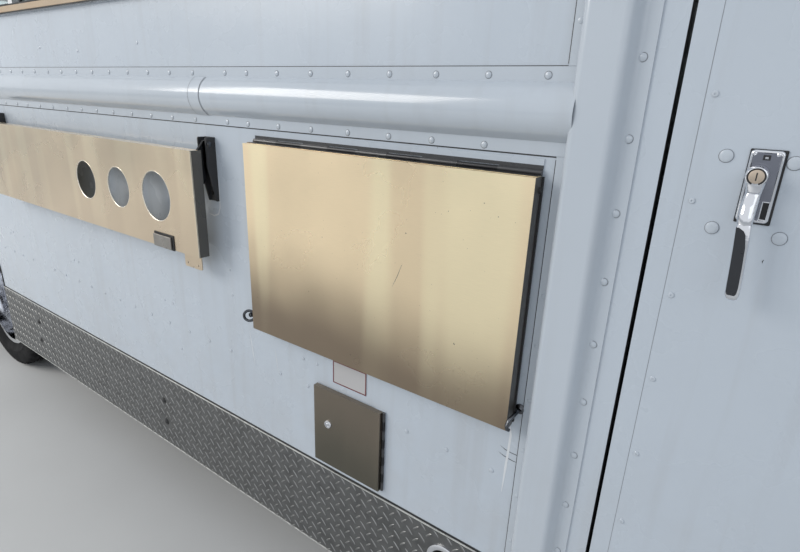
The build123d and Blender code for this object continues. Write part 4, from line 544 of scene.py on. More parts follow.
def row_on(places, low, high):
    """The measured places, carried on at the same pitch to both ends."""
    first, last = min(places), max(places)
    before = [first - RIVET_PITCH * k for k in range(1, 60) if first - RIVET_PITCH * k > low]
    after = [last + RIVET_PITCH * k for k in range(1, 60) if last + RIVET_PITCH * k < high]
    return [*before, *places, *after]


def both_sides(name, mesh, material, body="root", angle=35):
    """The piece on the curb side, and its mirror image on the street side."""
    doors = {"root": "root", "cab_door_curb": "cab_door_street"}
    piece(f"{name}_curb", mesh, material, body, angle)
    piece(f"{name}_street", mesh.mirrored(), material, doors[body], angle)


def shadow_ring(mesh, at, normal, radius):
    """A thin dark ring round a rivet or bolt head: painted shadow of the head on the sheet."""
    lathe(mesh, at, normal, ((radius + 0.9, 0), (radius + 0.7, 0.25), (radius - 0.2, 0.3)), 16)


wall_rivets, rivet_shadows = Mesh(), Mesh()
marked = [(x, BELT_TOP_Z, BELT_RIVET) for x in row_on(BELT_TOP_ROW, ROWS_FROM, ROWS_TO)]
marked += [(x, BELT_LOW_Z, BELT_RIVET) for x in row_on(BELT_LOW_ROW, ROWS_FROM, BELT_LOW_TO)]
marked += [(POST_ROW_X, POST_ROW_Z + POST_PITCH * k, POST_RIVET) for k in range(POST_RIVETS)]
for x, z, head in marked:
    rivet(wall_rivets, (x, FLANGE_Y, z), CURB, *head, 12)
    shadow_ring(rivet_shadows, (x, FLANGE_Y, z), CURB, head[0])
for x in row_on(WALL_ROW, ROWS_FROM, ROWS_TO):
    if abs(x - REAR_AXLE_X) > ARCH_CLEAR:
        rivet(wall_rivets, (x, WALL_Y, WALL_ROW_Z), CURB, *WALL_RIVET)
for x, z in STRAY_RIVETS:
    rivet(wall_rivets, (x, WALL_Y, z), CURB, *STRAY_RIVET)
for z in SEAM_ROW:
    rivet(wall_rivets, (SEAM_ROW_X, FLANGE_Y, z), CURB, *SEAM_RIVET)
both_sides("wall_rivets", wall_rivets, trim_white)

door_bolts = Mesh()
for k in range(DOOR_SCREWS):
    screw(door_bolts, (DOOR_SCREW_X, WALL_Y, DOOR_SCREW_Z + DOOR_SCREW_PITCH * k), CURB, DOOR_SCREW)
bolt_shadows = Mesh()
for x, z in DOOR_BOLTS:
    lathe(door_bolts, (x, WALL_Y, z), CURB, DOOR_BOLT_HEAD, 24)
    shadow_ring(bolt_shadows, (x, WALL_Y, z), CURB, DOOR_BOLT_HEAD[0][0])
both_sides("door_bolts", door_bolts, trim_white, "cab_door_curb")

# Tread plate: raised lugs in two directions

LUG_PITCH = 38.1
LUG_LONG = 31.0
LUG_SHORT = 26.0
LUG_WIDTH = 6.0
LUG_HEIGHT = 1.3
LUG_MARGIN = 3.5
BOLT_ROOM = 20
INLET_ROOM = 58
SKIRT_FACE_Y = WALL_Y - 4
SKIRT_LOW = 345
SKIRT_HIGH = 645
SKIRT_SPANS = ((-1385, 1451), (-3720, -2315))
SKIRT_BOLTS = ((-1005, 552), (-1020, 450), (68, 535), (70, 443))
INLET = (1300, 560)


def lug(mesh, x, z, lean, length, x_span):
    """One raised bar with pointed ends, leaning one way or the other, cut off where the sheet ends."""
    along = Vector((math.cos(lean), 0, math.sin(lean)))
    side = Vector((-math.sin(lean), 0, math.cos(lean)))
    half = length / 2
    outline = ((-half, 0), (-half * 0.55, -0.9), (0, -1), (half * 0.55, -0.9), (half, 0), (half * 0.55, 0.9),
               (0, 1), (-half * 0.55, 0.9))
    points = []
    foot = (SKIRT_FACE_Y + 0.3, 1, LUG_WIDTH / 2)
    crest = (SKIRT_FACE_Y - LUG_HEIGHT, 0.8, LUG_WIDTH * 0.22)
    for y, reach, width in (foot, crest):
        for a, b in outline:
            p = Vector((x, 0, z)) + along * a * reach + side * b * width
            points.append((min(max(p.x, x_span[0] + LUG_MARGIN), x_span[1] - LUG_MARGIN), y,
                           min(max(p.z, SKIRT_LOW + LUG_MARGIN), SKIRT_HIGH - LUG_MARGIN)))
    faces = quads_between(2, 8) + [tuple(range(8, 16))]
    mesh.add(points, [face[::-1] for face in faces])


def tread(x_span):
    """The lugs of one skirt: every other place of a grid, row by row leaning left and right."""
    mesh = Mesh()
    rows = int((SKIRT_HIGH - SKIRT_LOW) / LUG_PITCH * 2)
    columns = int((x_span[1] - x_span[0]) / LUG_PITCH * 2) + 1
    for column in range(columns):
        for row in range(rows + 1):
            x = x_span[0] + (column + 0.4) * LUG_PITCH / 2
            z = SKIRT_LOW + 4 + row * LUG_PITCH / 2
            blocked = any(math.dist((x, z), hole) < BOLT_ROOM for hole in SKIRT_BOLTS)
            if (row + column) % 2 or blocked or math.dist((x, z), INLET) < INLET_ROOM:
                continue
            lean, length = ((45, LUG_SHORT), (-45, LUG_LONG))[row % 2]
            lug(mesh, x, z, math.radians(lean), length, x_span)
    return mesh


for number, x_span in enumerate(SKIRT_SPANS):
    both_sides(f"tread_lugs_{number}", tread(x_span), tread_lug_highlight, angle=20)


# Seams, sealant and edge trims

def strip(mesh, rows, span, upright=False):
    """A folded strip along X from rows of (y, z), or along Z from rows of (x, y)."""
    if upright:
        ends = [[(a, b, end) for a, b in rows] for end in span]
    else:
        ends = [[(end, a, b) for a, b in rows] for end in span]
    count = len(rows)
    mesh.add(ends[0] + ends[1], [(i, i + 1, count + i + 1, count + i) for i in range(count - 1)])


def rounded_path(corners, radius, place, steps=6, closed=True):
    """Points round a polygon with rounded corners, each put in space by the place function."""
    points = []
    count = len(corners)
    for i, corner in enumerate(corners):
        here = Vector(corner)
        if not closed and i in (0, count - 1):
            points.append(place(*here))
            continue
        back = (Vector(corners[i - 1]) - here).normalized()
        ahead = (Vector(corners[(i + 1) % count]) - here).normalized()
        half = back.angle(ahead) / 2
        centre = here + (back + ahead).normalized() * radius / math.sin(half)
        first = here + back * radius / math.tan(half) - centre
        last = here + ahead * radius / math.tan(half) - centre
        for k in range(steps + 1):
            spoke = first.lerp(last, k / steps)
            points.append(place(*(centre + spoke.normalized() * radius)))
    return points


def box_corners(across, up):
    return [(across[0], up[0]), (across[1], up[0]), (across[1], up[1]), (across[0], up[1])]


def gasket(mesh, corners, radius, place, thickness=7.0, closed=True):
    tube(mesh, rounded_path(corners, radius, place, closed=closed), thickness, 8, closed)


sealant = moulded("sealant", (0.035, 0.037, 0.040), 0.6)
# Grey for the door skin's seam, and for painted shadows round rivet and bolt heads and along the belt strap's
# edges
seam_and_shadow_grey = moulded("seam_and_shadow_grey", (0.22, 0.235, 0.255), 0.6)
drip_white = moulded("drip_white", (0.66, 0.68, 0.70), 0.5, dust=0.2)
# Beads as rows of (Y, Z) along X, and as rows of (X, Y) up the post
BODY_SPAN = (-3620, 1450)
BELT_FOOT_BEAD = ((-1180.1, 1566), (-1182.2, 1566), (-1181.6, 1564), (-1180.1, 1563.2))
BELT_TOP_BEAD = ((-1180.1, 1711.6), (-1181.4, 1711.2), (-1181.8, 1710), (-1180.1, 1709.6))
SKIRT_BEAD = ((-1180.2, 651), (-1180.4, 650.6), (-1180.4, 645.5), (-1180.2, 645))
POST_BEAD = ((1451.2, -1180.1), (1450.6, -1182.6), (1449.4, -1182.2), (1448.8, -1180.1))
POST_BEAD_SPANS = ((345, 1560), (1714, 2700))
seams = Mesh()
for bead in (BELT_FOOT_BEAD, BELT_TOP_BEAD):
    strip(seams, bead, BODY_SPAN)
for span in SKIRT_SPANS:
    strip(seams, SKIRT_BEAD, span)
for span in POST_BEAD_SPANS:
    strip(seams, POST_BEAD, span, True)
both_sides("sealant", seams, sealant)
both_sides("rivet_shadows", rivet_shadows, seam_and_shadow_grey)
both_sides("door_bolt_head_shadows", bolt_shadows, seam_and_shadow_grey, "cab_door_curb")

# The belt rail's joint strap with painted shadow lines along its edges, and the flat fill at its front end
BULGE_RADIUS = 55.05
BULGE_CENTRE = (-1156.95, 1637.5)
JOINT_X = (440, 487)
JOINT_SHADOW_HALF = 0.9
FRONT_FILL_X = (1466, 1477)


def bulge_arc(lift, spread=60, steps=16):
    """Points of (y, z) over the belt rail's bulge."""
    return [(BULGE_CENTRE[0] - (BULGE_RADIUS + lift) * math.cos(math.radians(a)),
             BULGE_CENTRE[1] + (BULGE_RADIUS + lift) * math.sin(math.radians(a)))
            for a in (spread - 2 * spread * k / steps for k in range(steps + 1))]


belt_cover, joint_edge_shadows = Mesh(), Mesh()
strip(belt_cover, bulge_arc(1.0), JOINT_X)
strip(belt_cover, bulge_arc(0.1), FRONT_FILL_X)
both_sides("belt_cover", belt_cover, trim_white)
# Thin dark lines at the strap's two edges: painted shadow of its step
for edge_x in JOINT_X:
    strip(joint_edge_shadows, bulge_arc(1.15), (edge_x - JOINT_SHADOW_HALF, edge_x + JOINT_SHADOW_HALF))
both_sides("belt_joint_lines", joint_edge_shadows, seam_and_shadow_grey)

# A panel joint above the shelf, old marks on the wall, and drips below the catches
PANEL_JOINT = ((1209.5, 1565), (1209.5, 1548), (1209.5, 1532))
DOOR_TICK = ((1775, 1447.5), (1773.6, 1445), (1774, 1442))
MARK_Y = WALL_Y - 0.15
DRIP_Y = WALL_Y - 0.2
SCUFFS = (
    ((1410, 956), (1422, 951), (1435, 949), (1450, 948.5), (1464, 951)),
    ((1408, 939), (1418, 935), (1429, 932.5), (1441, 931), (1453, 931)),
)
DRIPS = (
    (2.6, ((1427, 1012), (1430, 990), (1429, 955), (1427, 905), (1425, 842))),
    (1.5, ((596, 981), (601, 950), (606, 912), (612, 876))),
    (1.2, ((704, 957), (709, 925), (715, 882))),
)
OLD_SEALANT = (
    ((504, 1428), (502, 1380), (499, 1338), (490, 1318), (470, 1310), (446, 1313)),
    ((-746, 1556), (-743, 1530), (-735, 1512)),
)


def line_on_wall(mesh, points, half, y):
    """A flat line with tapered ends, a hair above the wall."""
    count = len(points)
    rows = []
    for i, (x, z) in enumerate(points):
        before, after = points[max(i - 1, 0)], points[min(i + 1, count - 1)]
        run = Vector((after[0] - before[0], after[1] - before[1])).normalized()
        width = half * (0.25 if i in (0, count - 1) else 1)
        rows += [(x - run.y * width, y, z + run.x * width), (x + run.y * width, y, z - run.x * width)]
    mesh.add(rows, [(2 * i, 2 * i + 1, 2 * i + 3, 2 * i + 2) for i in range(count - 1)])


marks, drips = Mesh(), Mesh()
line_on_wall(marks, PANEL_JOINT, 0.7, MARK_Y)
for points in SCUFFS:
    line_on_wall(marks, points, 0.9, MARK_Y)
for half, points in DRIPS:
    line_on_wall(drips, points, half, DRIP_Y)
for points in OLD_SEALANT:
    line_on_wall(drips, points, 2.4, DRIP_Y)
piece("wall_marks", marks, sealant)
piece("wall_drips", drips, drip_white)
tick = Mesh()
line_on_wall(tick, DOOR_TICK, 0.7, DRIP_Y)
piece("door_mark", tick, sealant, "cab_door_curb")

DOOR_SEAM = ((1655.4, -1180.1), (1655.2, -1180.35), (1654.8, -1180.35), (1654.6, -1180.1))
skin_seam = Mesh()
strip(skin_seam, DOOR_SEAM, (446, 2474), True)
both_sides("door_seam", skin_seam, seam_and_shadow_grey, "cab_door_curb")

# Door seals: a bulb behind the gap, and rubber on the opening's edge
SEAL_CORNERS = box_corners((1608, 2394), (438, 2494))
SEAL_Y = -1132
JAMB_CORNERS = box_corners((1615.5, 2386.5), (433.5, 2486.5))
JAMB_RADIUS = 56.5
JAMB_Y = (-1179.2, -1150, -1134)
door_seal = Mesh()
gasket(door_seal, SEAL_CORNERS, 40, lambda x, z: (x, SEAL_Y, z), 9)
jamb_rings = [rounded_path(JAMB_CORNERS, JAMB_RADIUS, lambda x, z, y=y: (x, y, z), 8) for y in JAMB_Y]
for front, back in zip(jamb_rings, jamb_rings[1:]):
    door_seal.add(front + back, quads_between(2, len(front)))
both_sides("door_seal", door_seal, rubber)

# The skirts' rolled edges, light in colour: painted highlight
SKIRT_EDGE_Y = -1183.4
SKIRT_EDGES = ((644.6, 2.4), (345.8, 2.0))
skirt_edges = Mesh()
for low, high in SKIRT_SPANS:
    for z, radius in SKIRT_EDGES:
        tube(skirt_edges, [(low, SKIRT_EDGE_Y, z), (high, SKIRT_EDGE_Y, z)], radius, 8)
both_sides("skirt_edges", skirt_edges, tread_edge_highlight)

ARCH_HALF = 467
ARCH_TOP = 872
ARCH_ROUND = 150
ARCH_FEET = ((FRONT_AXLE_X, 360), (REAR_AXLE_X, 345))
arch_trim = Mesh()
for axle_x, foot_z in ARCH_FEET:
    back, front = axle_x - ARCH_HALF, axle_x + ARCH_HALF
    arch = [(back, foot_z), (back, ARCH_TOP), (front, ARCH_TOP), (front, foot_z)]
    gasket(arch_trim, arch, ARCH_ROUND, lambda x, z: (x, WALL_Y + 1, z), 5, closed=False)
both_sides("arch_trim", arch_trim, rubber)

# Skirt bolts and the round inlet's lining and bezel
SKIRT_BOLT_HEAD = ((13, -0.2), (13, 1.2), (11.5, 2.0), (7, 2.2), (6.4, 4.2), (5, 5), (0, 5.2))
INLET_FACE = (INLET[0], -1187, INLET[1])
INLET_BEZEL = ((48.5, -3.2), (48.5, 0.4), (46, 2.0), (40, 2.6), (35.5, 1.6), (34.2, -1.0), (34.2, -6))
INLET_LINING = ((33.6, -4), (33.6, -37), (24, -38.5), (23, -34), (10, -34), (8, -30), (0, -29))
skirt_bolts = Mesh()
for x, z in SKIRT_BOLTS:
    lathe(skirt_bolts, (x, SKIRT_FACE_Y, z), CURB, SKIRT_BOLT_HEAD, 16)
both_sides("skirt_bolts", skirt_bolts, plastic)
bezel = Mesh()
lathe(bezel, INLET_FACE, CURB, INLET_BEZEL, 40)
both_sides("inlet_bezel", bezel, chrome)
lining = Mesh()
lathe(lining, INLET_FACE, CURB, INLET_LINING, 32)
both_sides("inlet_lining", lining, plastic)

# Window gaskets
SCREEN_FOOT_X = 3272.5
SCREEN_FOOT_Z = 1570
SCREEN_RUN = 310
SCREEN_RISE = 1050
SCREEN_OUT = Vector((SCREEN_RISE, 0, SCREEN_RUN)).normalized()
SCREEN_PANE = ((30, 1040), (1690, 2520))
QUARTER = [(2470, 1700), (3110, 1700), (2935, 2390), (2470, 2390)]
DOOR_PANE = ((1735, 2285), (1880, 2390))
REAR_PANE = ((-250, 250), (1780, 2300))
PANE_ROUND = 60
QUARTER_ROUND = 45


def on_screen(y, z):
    """A point on the windshield's outer plane."""
    return (SCREEN_FOOT_X - (z - SCREEN_FOOT_Z) * SCREEN_RUN / SCREEN_RISE, y, z)


def off_screen(y, z, lift):
    """A point at some height above the windshield."""
    return Vector(on_screen(y, z)) + SCREEN_OUT * lift


glazing = Mesh()
for side in (-1, 1):
    across = sorted(side * y for y in SCREEN_PANE[0])
    gasket(glazing, box_corners(across, SCREEN_PANE[1]), PANE_ROUND, on_screen, 10)
for side in (-1, 1):
    gasket(glazing, QUARTER, QUARTER_ROUND, lambda x, z: (x, -side * WALL_Y, z), 9)
piece("window_gaskets", glazing, rubber)
door_gasket = Mesh()
gasket(door_gasket, box_corners(*DOOR_PANE), PANE_ROUND, lambda x, z: (x, WALL_Y + 1, z), 7)
both_sides("door_gasket", door_gasket, rubber, "cab_door_curb")
rear_gasket = Mesh()
gasket(rear_gasket, box_corners(*REAR_PANE), PANE_ROUND, lambda y, z: (REAR_X, y, z), 7)
piece("rear_door_gasket", rear_gasket, rubber, "rear_door")

# Mirror glass on the rear faces of both heads, and the wipers parked low on the screen
mirror_glass = Mesh()
slab(mirror_glass, (2438.4, -1428, 1792), (2440.6, -1262, 2178), 0.8)
both_sides("mirror_glass", mirror_glass, mirror_silver)
# Bars of the wiper: points as (Y, Z, height above the screen), then the radius and the number of sides
WIPER_FOOT = (-700, 1642)
WIPER_FOOT_ROWS = ((17, -2), (17, 8), (13, 12), (12, 24), (9, 28), (0, 29))
BLADE_Z = 1728
WIPER_BARS = (
    (((*WIPER_FOOT, 20), (-640, 1672, 27), (-430, BLADE_Z, 27)), 5.5, 10),
    (((-680, BLADE_Z, 17), (-430, BLADE_Z, 26), (-180, BLADE_Z, 17)), 4.0, 8),
    (((-705, BLADE_Z, 12), (-660, BLADE_Z, 18), (-615, BLADE_Z, 12)), 2.6, 8),
    (((-565, BLADE_Z, 12), (-520, BLADE_Z, 18), (-475, BLADE_Z, 12)), 2.6, 8),
    (((-385, BLADE_Z, 12), (-340, BLADE_Z, 18), (-295, BLADE_Z, 12)), 2.6, 8),
    (((-245, BLADE_Z, 12), (-200, BLADE_Z, 18), (-155, BLADE_Z, 12)), 2.6, 8),
    (((-720, BLADE_Z, 7), (-140, BLADE_Z, 7)), 4.4, 8),
)
wiper = Mesh()
lathe(wiper, off_screen(*WIPER_FOOT, 0), SCREEN_OUT, WIPER_FOOT_ROWS, 24)
for points, radius, sides in WIPER_BARS:
    tube(wiper, [off_screen(*point) for point in points], radius, sides)
both_sides("wiper", wiper, plastic)

# Serving window: a tan strip along its foot, and the gaskets of its panes
FRAME_FACE_Y = -1196
SERVING_X = (-1180, 1020)
PANE_INNER_X = (-1152, 992)
PANE_INNER_Z = (1925, 2592)
PANES = 4
OUTER_PANES = (0, 3)
PANE_STILE = 34
OUTER_PANE_Y = -1182
INNER_PANE_Y = -1168
PANE_PITCH = (PANE_INNER_X[1] - PANE_INNER_X[0] + PANE_STILE) / PANES
FOOT_STRIP_Z = (1900, 1920)
FOOT_SEALS_Z = ((1895.5, 1899.5), (1920.5, 1925))
tan = moulded("tan_strip", (0.46, 0.34, 0.22), 0.5, dust=0.3)
foot_strip = Mesh()
slab(foot_strip, (SERVING_X[0] + 2, FRAME_FACE_Y - 2.4, FOOT_STRIP_Z[0]),
     (SERVING_X[1] - 2, FRAME_FACE_Y + 0.5, FOOT_STRIP_Z[1]), 0.8)
piece("serving_foot_strip", foot_strip, tan)
pane_seals = Mesh()
for z0, z1 in FOOT_SEALS_Z:
    slab(pane_seals, (SERVING_X[0], FRAME_FACE_Y - 1.6, z0), (SERVING_X[1], FRAME_FACE_Y + 0.5, z1), 0.5)
for pane in range(PANES):
    x0 = PANE_INNER_X[0] + pane * PANE_PITCH
    x1 = x0 + PANE_PITCH - PANE_STILE
    pane_y = OUTER_PANE_Y if pane in OUTER_PANES else INNER_PANE_Y
    corners = box_corners((x0 + 3, x1 - 3), (PANE_INNER_Z[0] + 3, PANE_INNER_Z[1] - 3))
    gasket(pane_seals, corners, 6, lambda x, z: (x, pane_y, z), 3.4)
piece("serving_gaskets", pane_seals, rubber)

# Plain folding shelf: a ring and a hook that catch its lower corners, a black rubber strip behind its end
# return that also stands for the shadow in the gap to the wall (painted shadow), and a knob

def ring_bar(mesh, at, normal, radius, bar, segments=28):
    """A round bar bent into a ring."""
    first, second, n = axes(normal)
    at = Vector(at)
    tube(mesh, [at + (first * math.cos(t) + second * math.sin(t)) * radius
                for t in (2 * math.pi * k / segments for k in range(segments))], bar, 10, True)


dark_chrome = plain_metal("dark_chrome", (0.10, 0.105, 0.115), 0.18, 0.3)
RING_AT = (640, -1212, 1053)
RING_TURN = (0.75, -1, 0.1)
RING_FOOT = (640, WALL_Y, 1054)
RING_FOOT_ROWS = ((14, -0.2), (14, 2.6), (9, 4.5), (6, 18), (7.5, 24), (6, 30), (0, 32))
HOOK = ((1443, -1181, 1060), (1443, -1200, 1060), (1441, -1213, 1058), (1437, -1222, 1051),
        (1436, -1227, 1042), (1437, -1226, 1034), (1439, -1221, 1030))
HOOK_FOOT = (1443, WALL_Y, 1060)
HOOK_FOOT_ROWS = ((11, -0.2), (11, 2.4), (6, 4), (4, 6))
catches = Mesh()
ring_bar(catches, RING_AT, RING_TURN, 15, 4.0)
lathe(catches, RING_FOOT, CURB, RING_FOOT_ROWS, 20)
tube(catches, HOOK, 3.8, 10)
lathe(catches, HOOK_FOOT, CURB, HOOK_FOOT_ROWS, 20)
piece("shelf_catches", catches, dark_chrome)
KNOB_AT = (1433, -1196, 1507)
KNOB_ROWS = ((6, -0.5), (6, 2), (5, 4.5), (0, 5.5))
shelf_knob_and_shadow_strip = Mesh()
# Black strip behind the end return: a rubber seal, and painted shadow of the gap to the wall
slab(shelf_knob_and_shadow_strip, (1432.4, -1190.5, 1030), (1435.6, -1185, 1530), 0.8)
lathe(shelf_knob_and_shadow_strip, KNOB_AT, FRONT, KNOB_ROWS, 16)
piece("shelf_knob_and_shadow_strip", shelf_knob_and_shadow_strip, rubber, "shelf_plain")
SCRATCH_Y = -1220.15
SCRATCHES = (
    (0.6, ((1164, 1321), (1153, 1292), (1140, 1264))),
    (1.2, ((1299.5, 1179), (1301, 1177), (1302.5, 1175))),
    (1.2, ((1168.6, 1389), (1170, 1388), (1171.4, 1387))),
)
scratches = Mesh()
for half, points in SCRATCHES:
    line_on_wall(scratches, points, half, SCRATCH_Y)
piece("shelf_scratches", scratches, sealant, "shelf_plain")

# Shelf with cup holes: rolled hole edges and a folded edge, both in a paler steel as a painted highlight, a
# clip and a tab with two holes
CUP_HOLES = ((-122, 64), (87, 64), (299, 74))
CUP_HOLES_Z = 1353
FOLDS_X = (488.2, -958.2)
FOLD_Y = -1252.2
FOLD_Z = (1202.5, 1350, 1497.5)
hole_edges = Mesh()
for x, radius in CUP_HOLES:
    ring_bar(hole_edges, (x, FOLD_Y - 0.4, CUP_HOLES_Z), CURB, radius - 0.4, 1.7, 48)
for x in FOLDS_X:
    tube(hole_edges, [(x, FOLD_Y, z) for z in FOLD_Z], 2.0, 10)
piece("cup_hole_edges", hole_edges, edge_highlight_steel, "shelf_cups")
clip, clip_back = Mesh(), Mesh()
slab(clip, (273, -1262, 1201), (363, -1256.2, 1239), 1.2)
slab(clip_back, (270.8, -1256.6, 1198.8), (371, -1252.8, 1245), 0.8)
piece("shelf_clip", clip, clip_steel, "shelf_cups")
piece("shelf_clip_back", clip_back, rubber, "shelf_cups")


def holed_tab(mesh, x, z, y, holes):
    """A thin upright tab with round holes, made of a fan of quads round each hole."""
    width = (x[1] - x[0]) / len(holes)
    count = 24
    faces = quads_between(2, count)
    for cell, (hx, hz, radius) in enumerate(holes):
        left, right = x[0] + cell * width, x[0] + (cell + 1) * width
        rim, edge = [], []
        for k in range(count):
            t = 2 * math.pi * k / count
            c, d = math.cos(t), math.sin(t)
            reach = min(((right if c > 0 else left) - hx) / c if abs(c) > 1e-6 else 1e9,
                        ((z[1] if d > 0 else z[0]) - hz) / d if abs(d) > 1e-6 else 1e9)
            rim.append((hx + radius * c, hz + radius * d))
            edge.append((hx + reach * c, hz + reach * d))
        for y_side, flip in ((y[0], False), (y[1], True)):
            pts = [(a, y_side, b) for a, b in rim + edge]
            mesh.add(pts, faces if flip else [f[::-1] for f in faces])
        for ring, outward in ((rim, True), (edge, False)):
            pts = [(a, y[0], b) for a, b in ring] + [(a, y[1], b) for a, b in ring]
            mesh.add(pts, faces if outward else [f[::-1] for f in faces])


TAB_BOX = ((377, 460), (1151, 1204), (-1229, -1226))
TAB_HOLES = ((393, 1164, 3.2), (444, 1163, 3.2))
tab = Mesh()
holed_tab(tab, *TAB_BOX, TAB_HOLES)
piece("shelf_tab", tab, cups_steel, "shelf_cups")

# The shelf's wall brackets: bolts, and the dark heads of the pivot pins
BRACKET_BOLTS_X = (-945, 475)
BRACKET_BOLTS_Z = (1378, 1520)
BRACKET_BOLT_HEAD = ((6, -0.2), (6, 2.4), (4.6, 3.4), (0, 3.8))
PIN_ENDS = (((499, -1200, 1514), FRONT), ((-969, -1200, 1514), BACK))
PIN_HEAD = ((7.5, -0.3), (7.5, 1.6), (5, 2.8), (0, 3.2))
bracket_bolts = Mesh()
for x in BRACKET_BOLTS_X:
    for z in BRACKET_BOLTS_Z:
        lathe(bracket_bolts, (x, FLANGE_Y, z), CURB, BRACKET_BOLT_HEAD, 14)
for at, out in PIN_ENDS:
    lathe(bracket_bolts, at, out, PIN_HEAD, 16)
piece("bracket_bolts", bracket_bolts, dark_chrome)

# Fuel door: a cylinder lock, and a blank plate above it
LOCK_AT = (925, -1196, 808)
LOCK_ROWS = ((12, -0.2), (12, 2), (10.5, 4.5), (7.2, 5), (7, 3.4), (5.5, 3.2), (5.2, 4.6), (0, 4.8))
PLATE_RIM = ((930, 1042, 933, 936), (930, 1042, 995, 998), (930, 933, 936, 995), (1039, 1042, 936, 995))
plate_white = moulded("plate_white", (0.50, 0.49, 0.49), 0.45, dust=0.2)
lock = Mesh()
lathe(lock, LOCK_AT, CURB, LOCK_ROWS, 28)
slab(lock, (LOCK_AT[0] - 1, -1201.6, LOCK_AT[2] - 4), (LOCK_AT[0] + 1, -1200.6, LOCK_AT[2] + 4), 0.3)
piece("fuel_door_lock", lock, chrome, "fuel_door")
plate = Mesh()
slab(plate, (930, -1181.4, 933), (1042, -1179.8, 998), 0.5)
piece("blank_plate", plate, plate_white)
plate_edge_red = moulded("plate_edge", (0.16, 0.03, 0.035), 0.5)
plate_edge = Mesh()
for x0, x1, z0, z1 in PLATE_RIM:
    slab(plate_edge, (x0, -1182.0, z0), (x1, -1181.2, z1), 0.2)
piece("blank_plate_edge", plate_edge, plate_edge_red)


# Door handles: a dished plate on a gasket, a lever with a lock in its head

HANDLE_X = (1727, 1767.5)
HANDLE_Z = (1500, 1601)
# Sections of the lever as centre, half width and half depth, and its inlay as Z and the two edges' X
LEVER_HEAD = (
    ((1741, -1190, 1566), 12.4, 6.0),
    ((1741, -1203, 1566), 13.2, 13.0),
    ((1741.3, -1204, 1556), 12.2, 12.6),
    ((1742, -1205, 1549), 10.4, 11.4),
    ((1742, -1206, 1545.5), 10.0, 10.2),
    ((1742, -1205.5, 1543), 9.6, 6.5),
    ((1741.5, -1207, 1538), 9.8, 7.0),
    ((1741, -1209.5, 1530), 10.3, 9.5),
    ((1740.6, -1212.5, 1521), 10.6, 10.8),
    ((1740.6, -1215, 1511), 10.4, 10.0),
    ((1741, -1217, 1504), 10.0, 8.6),
    ((1741.2, -1218, 1500), 8.8, 7.6),
)
LEVER_GRIP = (
    ((1741.4, -1218.2, 1501), 8.6, 7.2),
    ((1741.5, -1218.5, 1496), 9.2, 7.6),
    ((1743.5, -1220, 1470), 9.3, 7.4),
    ((1745.6, -1221.5, 1440), 9.3, 7.2),
    ((1747.2, -1223, 1412), 9.4, 7.0),
    ((1747.7, -1223.5, 1400), 9.1, 6.6),
    ((1748.1, -1223.5, 1394), 7.2, 5.4),
    ((1748.3, -1223.5, 1391.5), 3.8, 3.0),
)
LEVER_INLAY = (
    (1497, 1732.6, 1736.0), (1493, 1733.0, 1742.6), (1488, 1733.5, 1745.8), (1470, 1735.0, 1749.2),
    (1440, 1737.1, 1751.6), (1412, 1738.8, 1753.2), (1403, 1739.6, 1752.8), (1399.5, 1741.6, 1751.0),
)
# The dished plate's levels as inset, Y and corner radius
PLATE_LEVELS = ((0, -1182.2, 5), (0.2, -1185.6, 5), (1.4, -1187, 4.6), (3.0, -1187, 4), (4.2, -1185.4, 3.4))
PLATE_SCREWS = ((1732, -1185.5, 1596), (1760, -1185.5, 1596))
PLATE_SCREW_HEAD = ((2.6, -0.2), (2.6, 0.8), (1.8, 1.3), (0, 1.4))
POCKET_BARS = (
    ((1754.6, -1187.6, 1504), (1756.2, -1185.2, 1531)),
    ((1763.4, -1187.6, 1504), (1765, -1185.2, 1531)),
    ((1756, -1187.6, 1529.4), (1763.6, -1185.2, 1531)),
    ((1756, -1187.6, 1504), (1763.6, -1185.2, 1505.6)),
)
LOCK_BODY = ((14.5, 0), (14.2, 20), (13.4, 27.5), (12.8, 29.6), (11.6, 30), (11.2, 29.2))
LOCK_FACE = ((9.6, -1.2), (9.3, -0.2), (8.7, 0), (0, 0))
INLAY_LIFT = 0.7
LOCK_CENTRE = (1741, -1187, 1567)


def block_loft(mesh, sections, steps=20, power=2.6):
    """A smooth body through rounded sections stacked along Z."""
    rings = []
    for (cx, cy, cz), half_x, half_y in sections:
        ring = []
        for k in range(steps):
            t = 2 * math.pi * k / steps
            c, d = math.cos(t), math.sin(t)
            ring.append((cx + half_x * math.copysign(abs(c) ** (2 / power), c),
                         cy + half_y * math.copysign(abs(d) ** (2 / power), d), cz))
        rings.append(ring)
    flat = [p for ring in rings for p in ring]
    count = len(rings)
    faces = [(a, d, c, b) for a, b, c, d in quads_between(count, steps)]
    faces.append(tuple(range(steps)))
    faces.append(tuple((count - 1) * steps + k for k in range(steps))[::-1])
    mesh.add(flat, faces)


def plate_ring(inset, y, radius):
    """A rounded rectangle inside the handle plate's outline."""
    (x0, x1), (z0, z1) = HANDLE_X, HANDLE_Z
    return rounded_path(box_corners((x0 + inset, x1 - inset), (z0 + inset, z1 - inset)), radius,
                        lambda x, z: (x, y, z), 4)


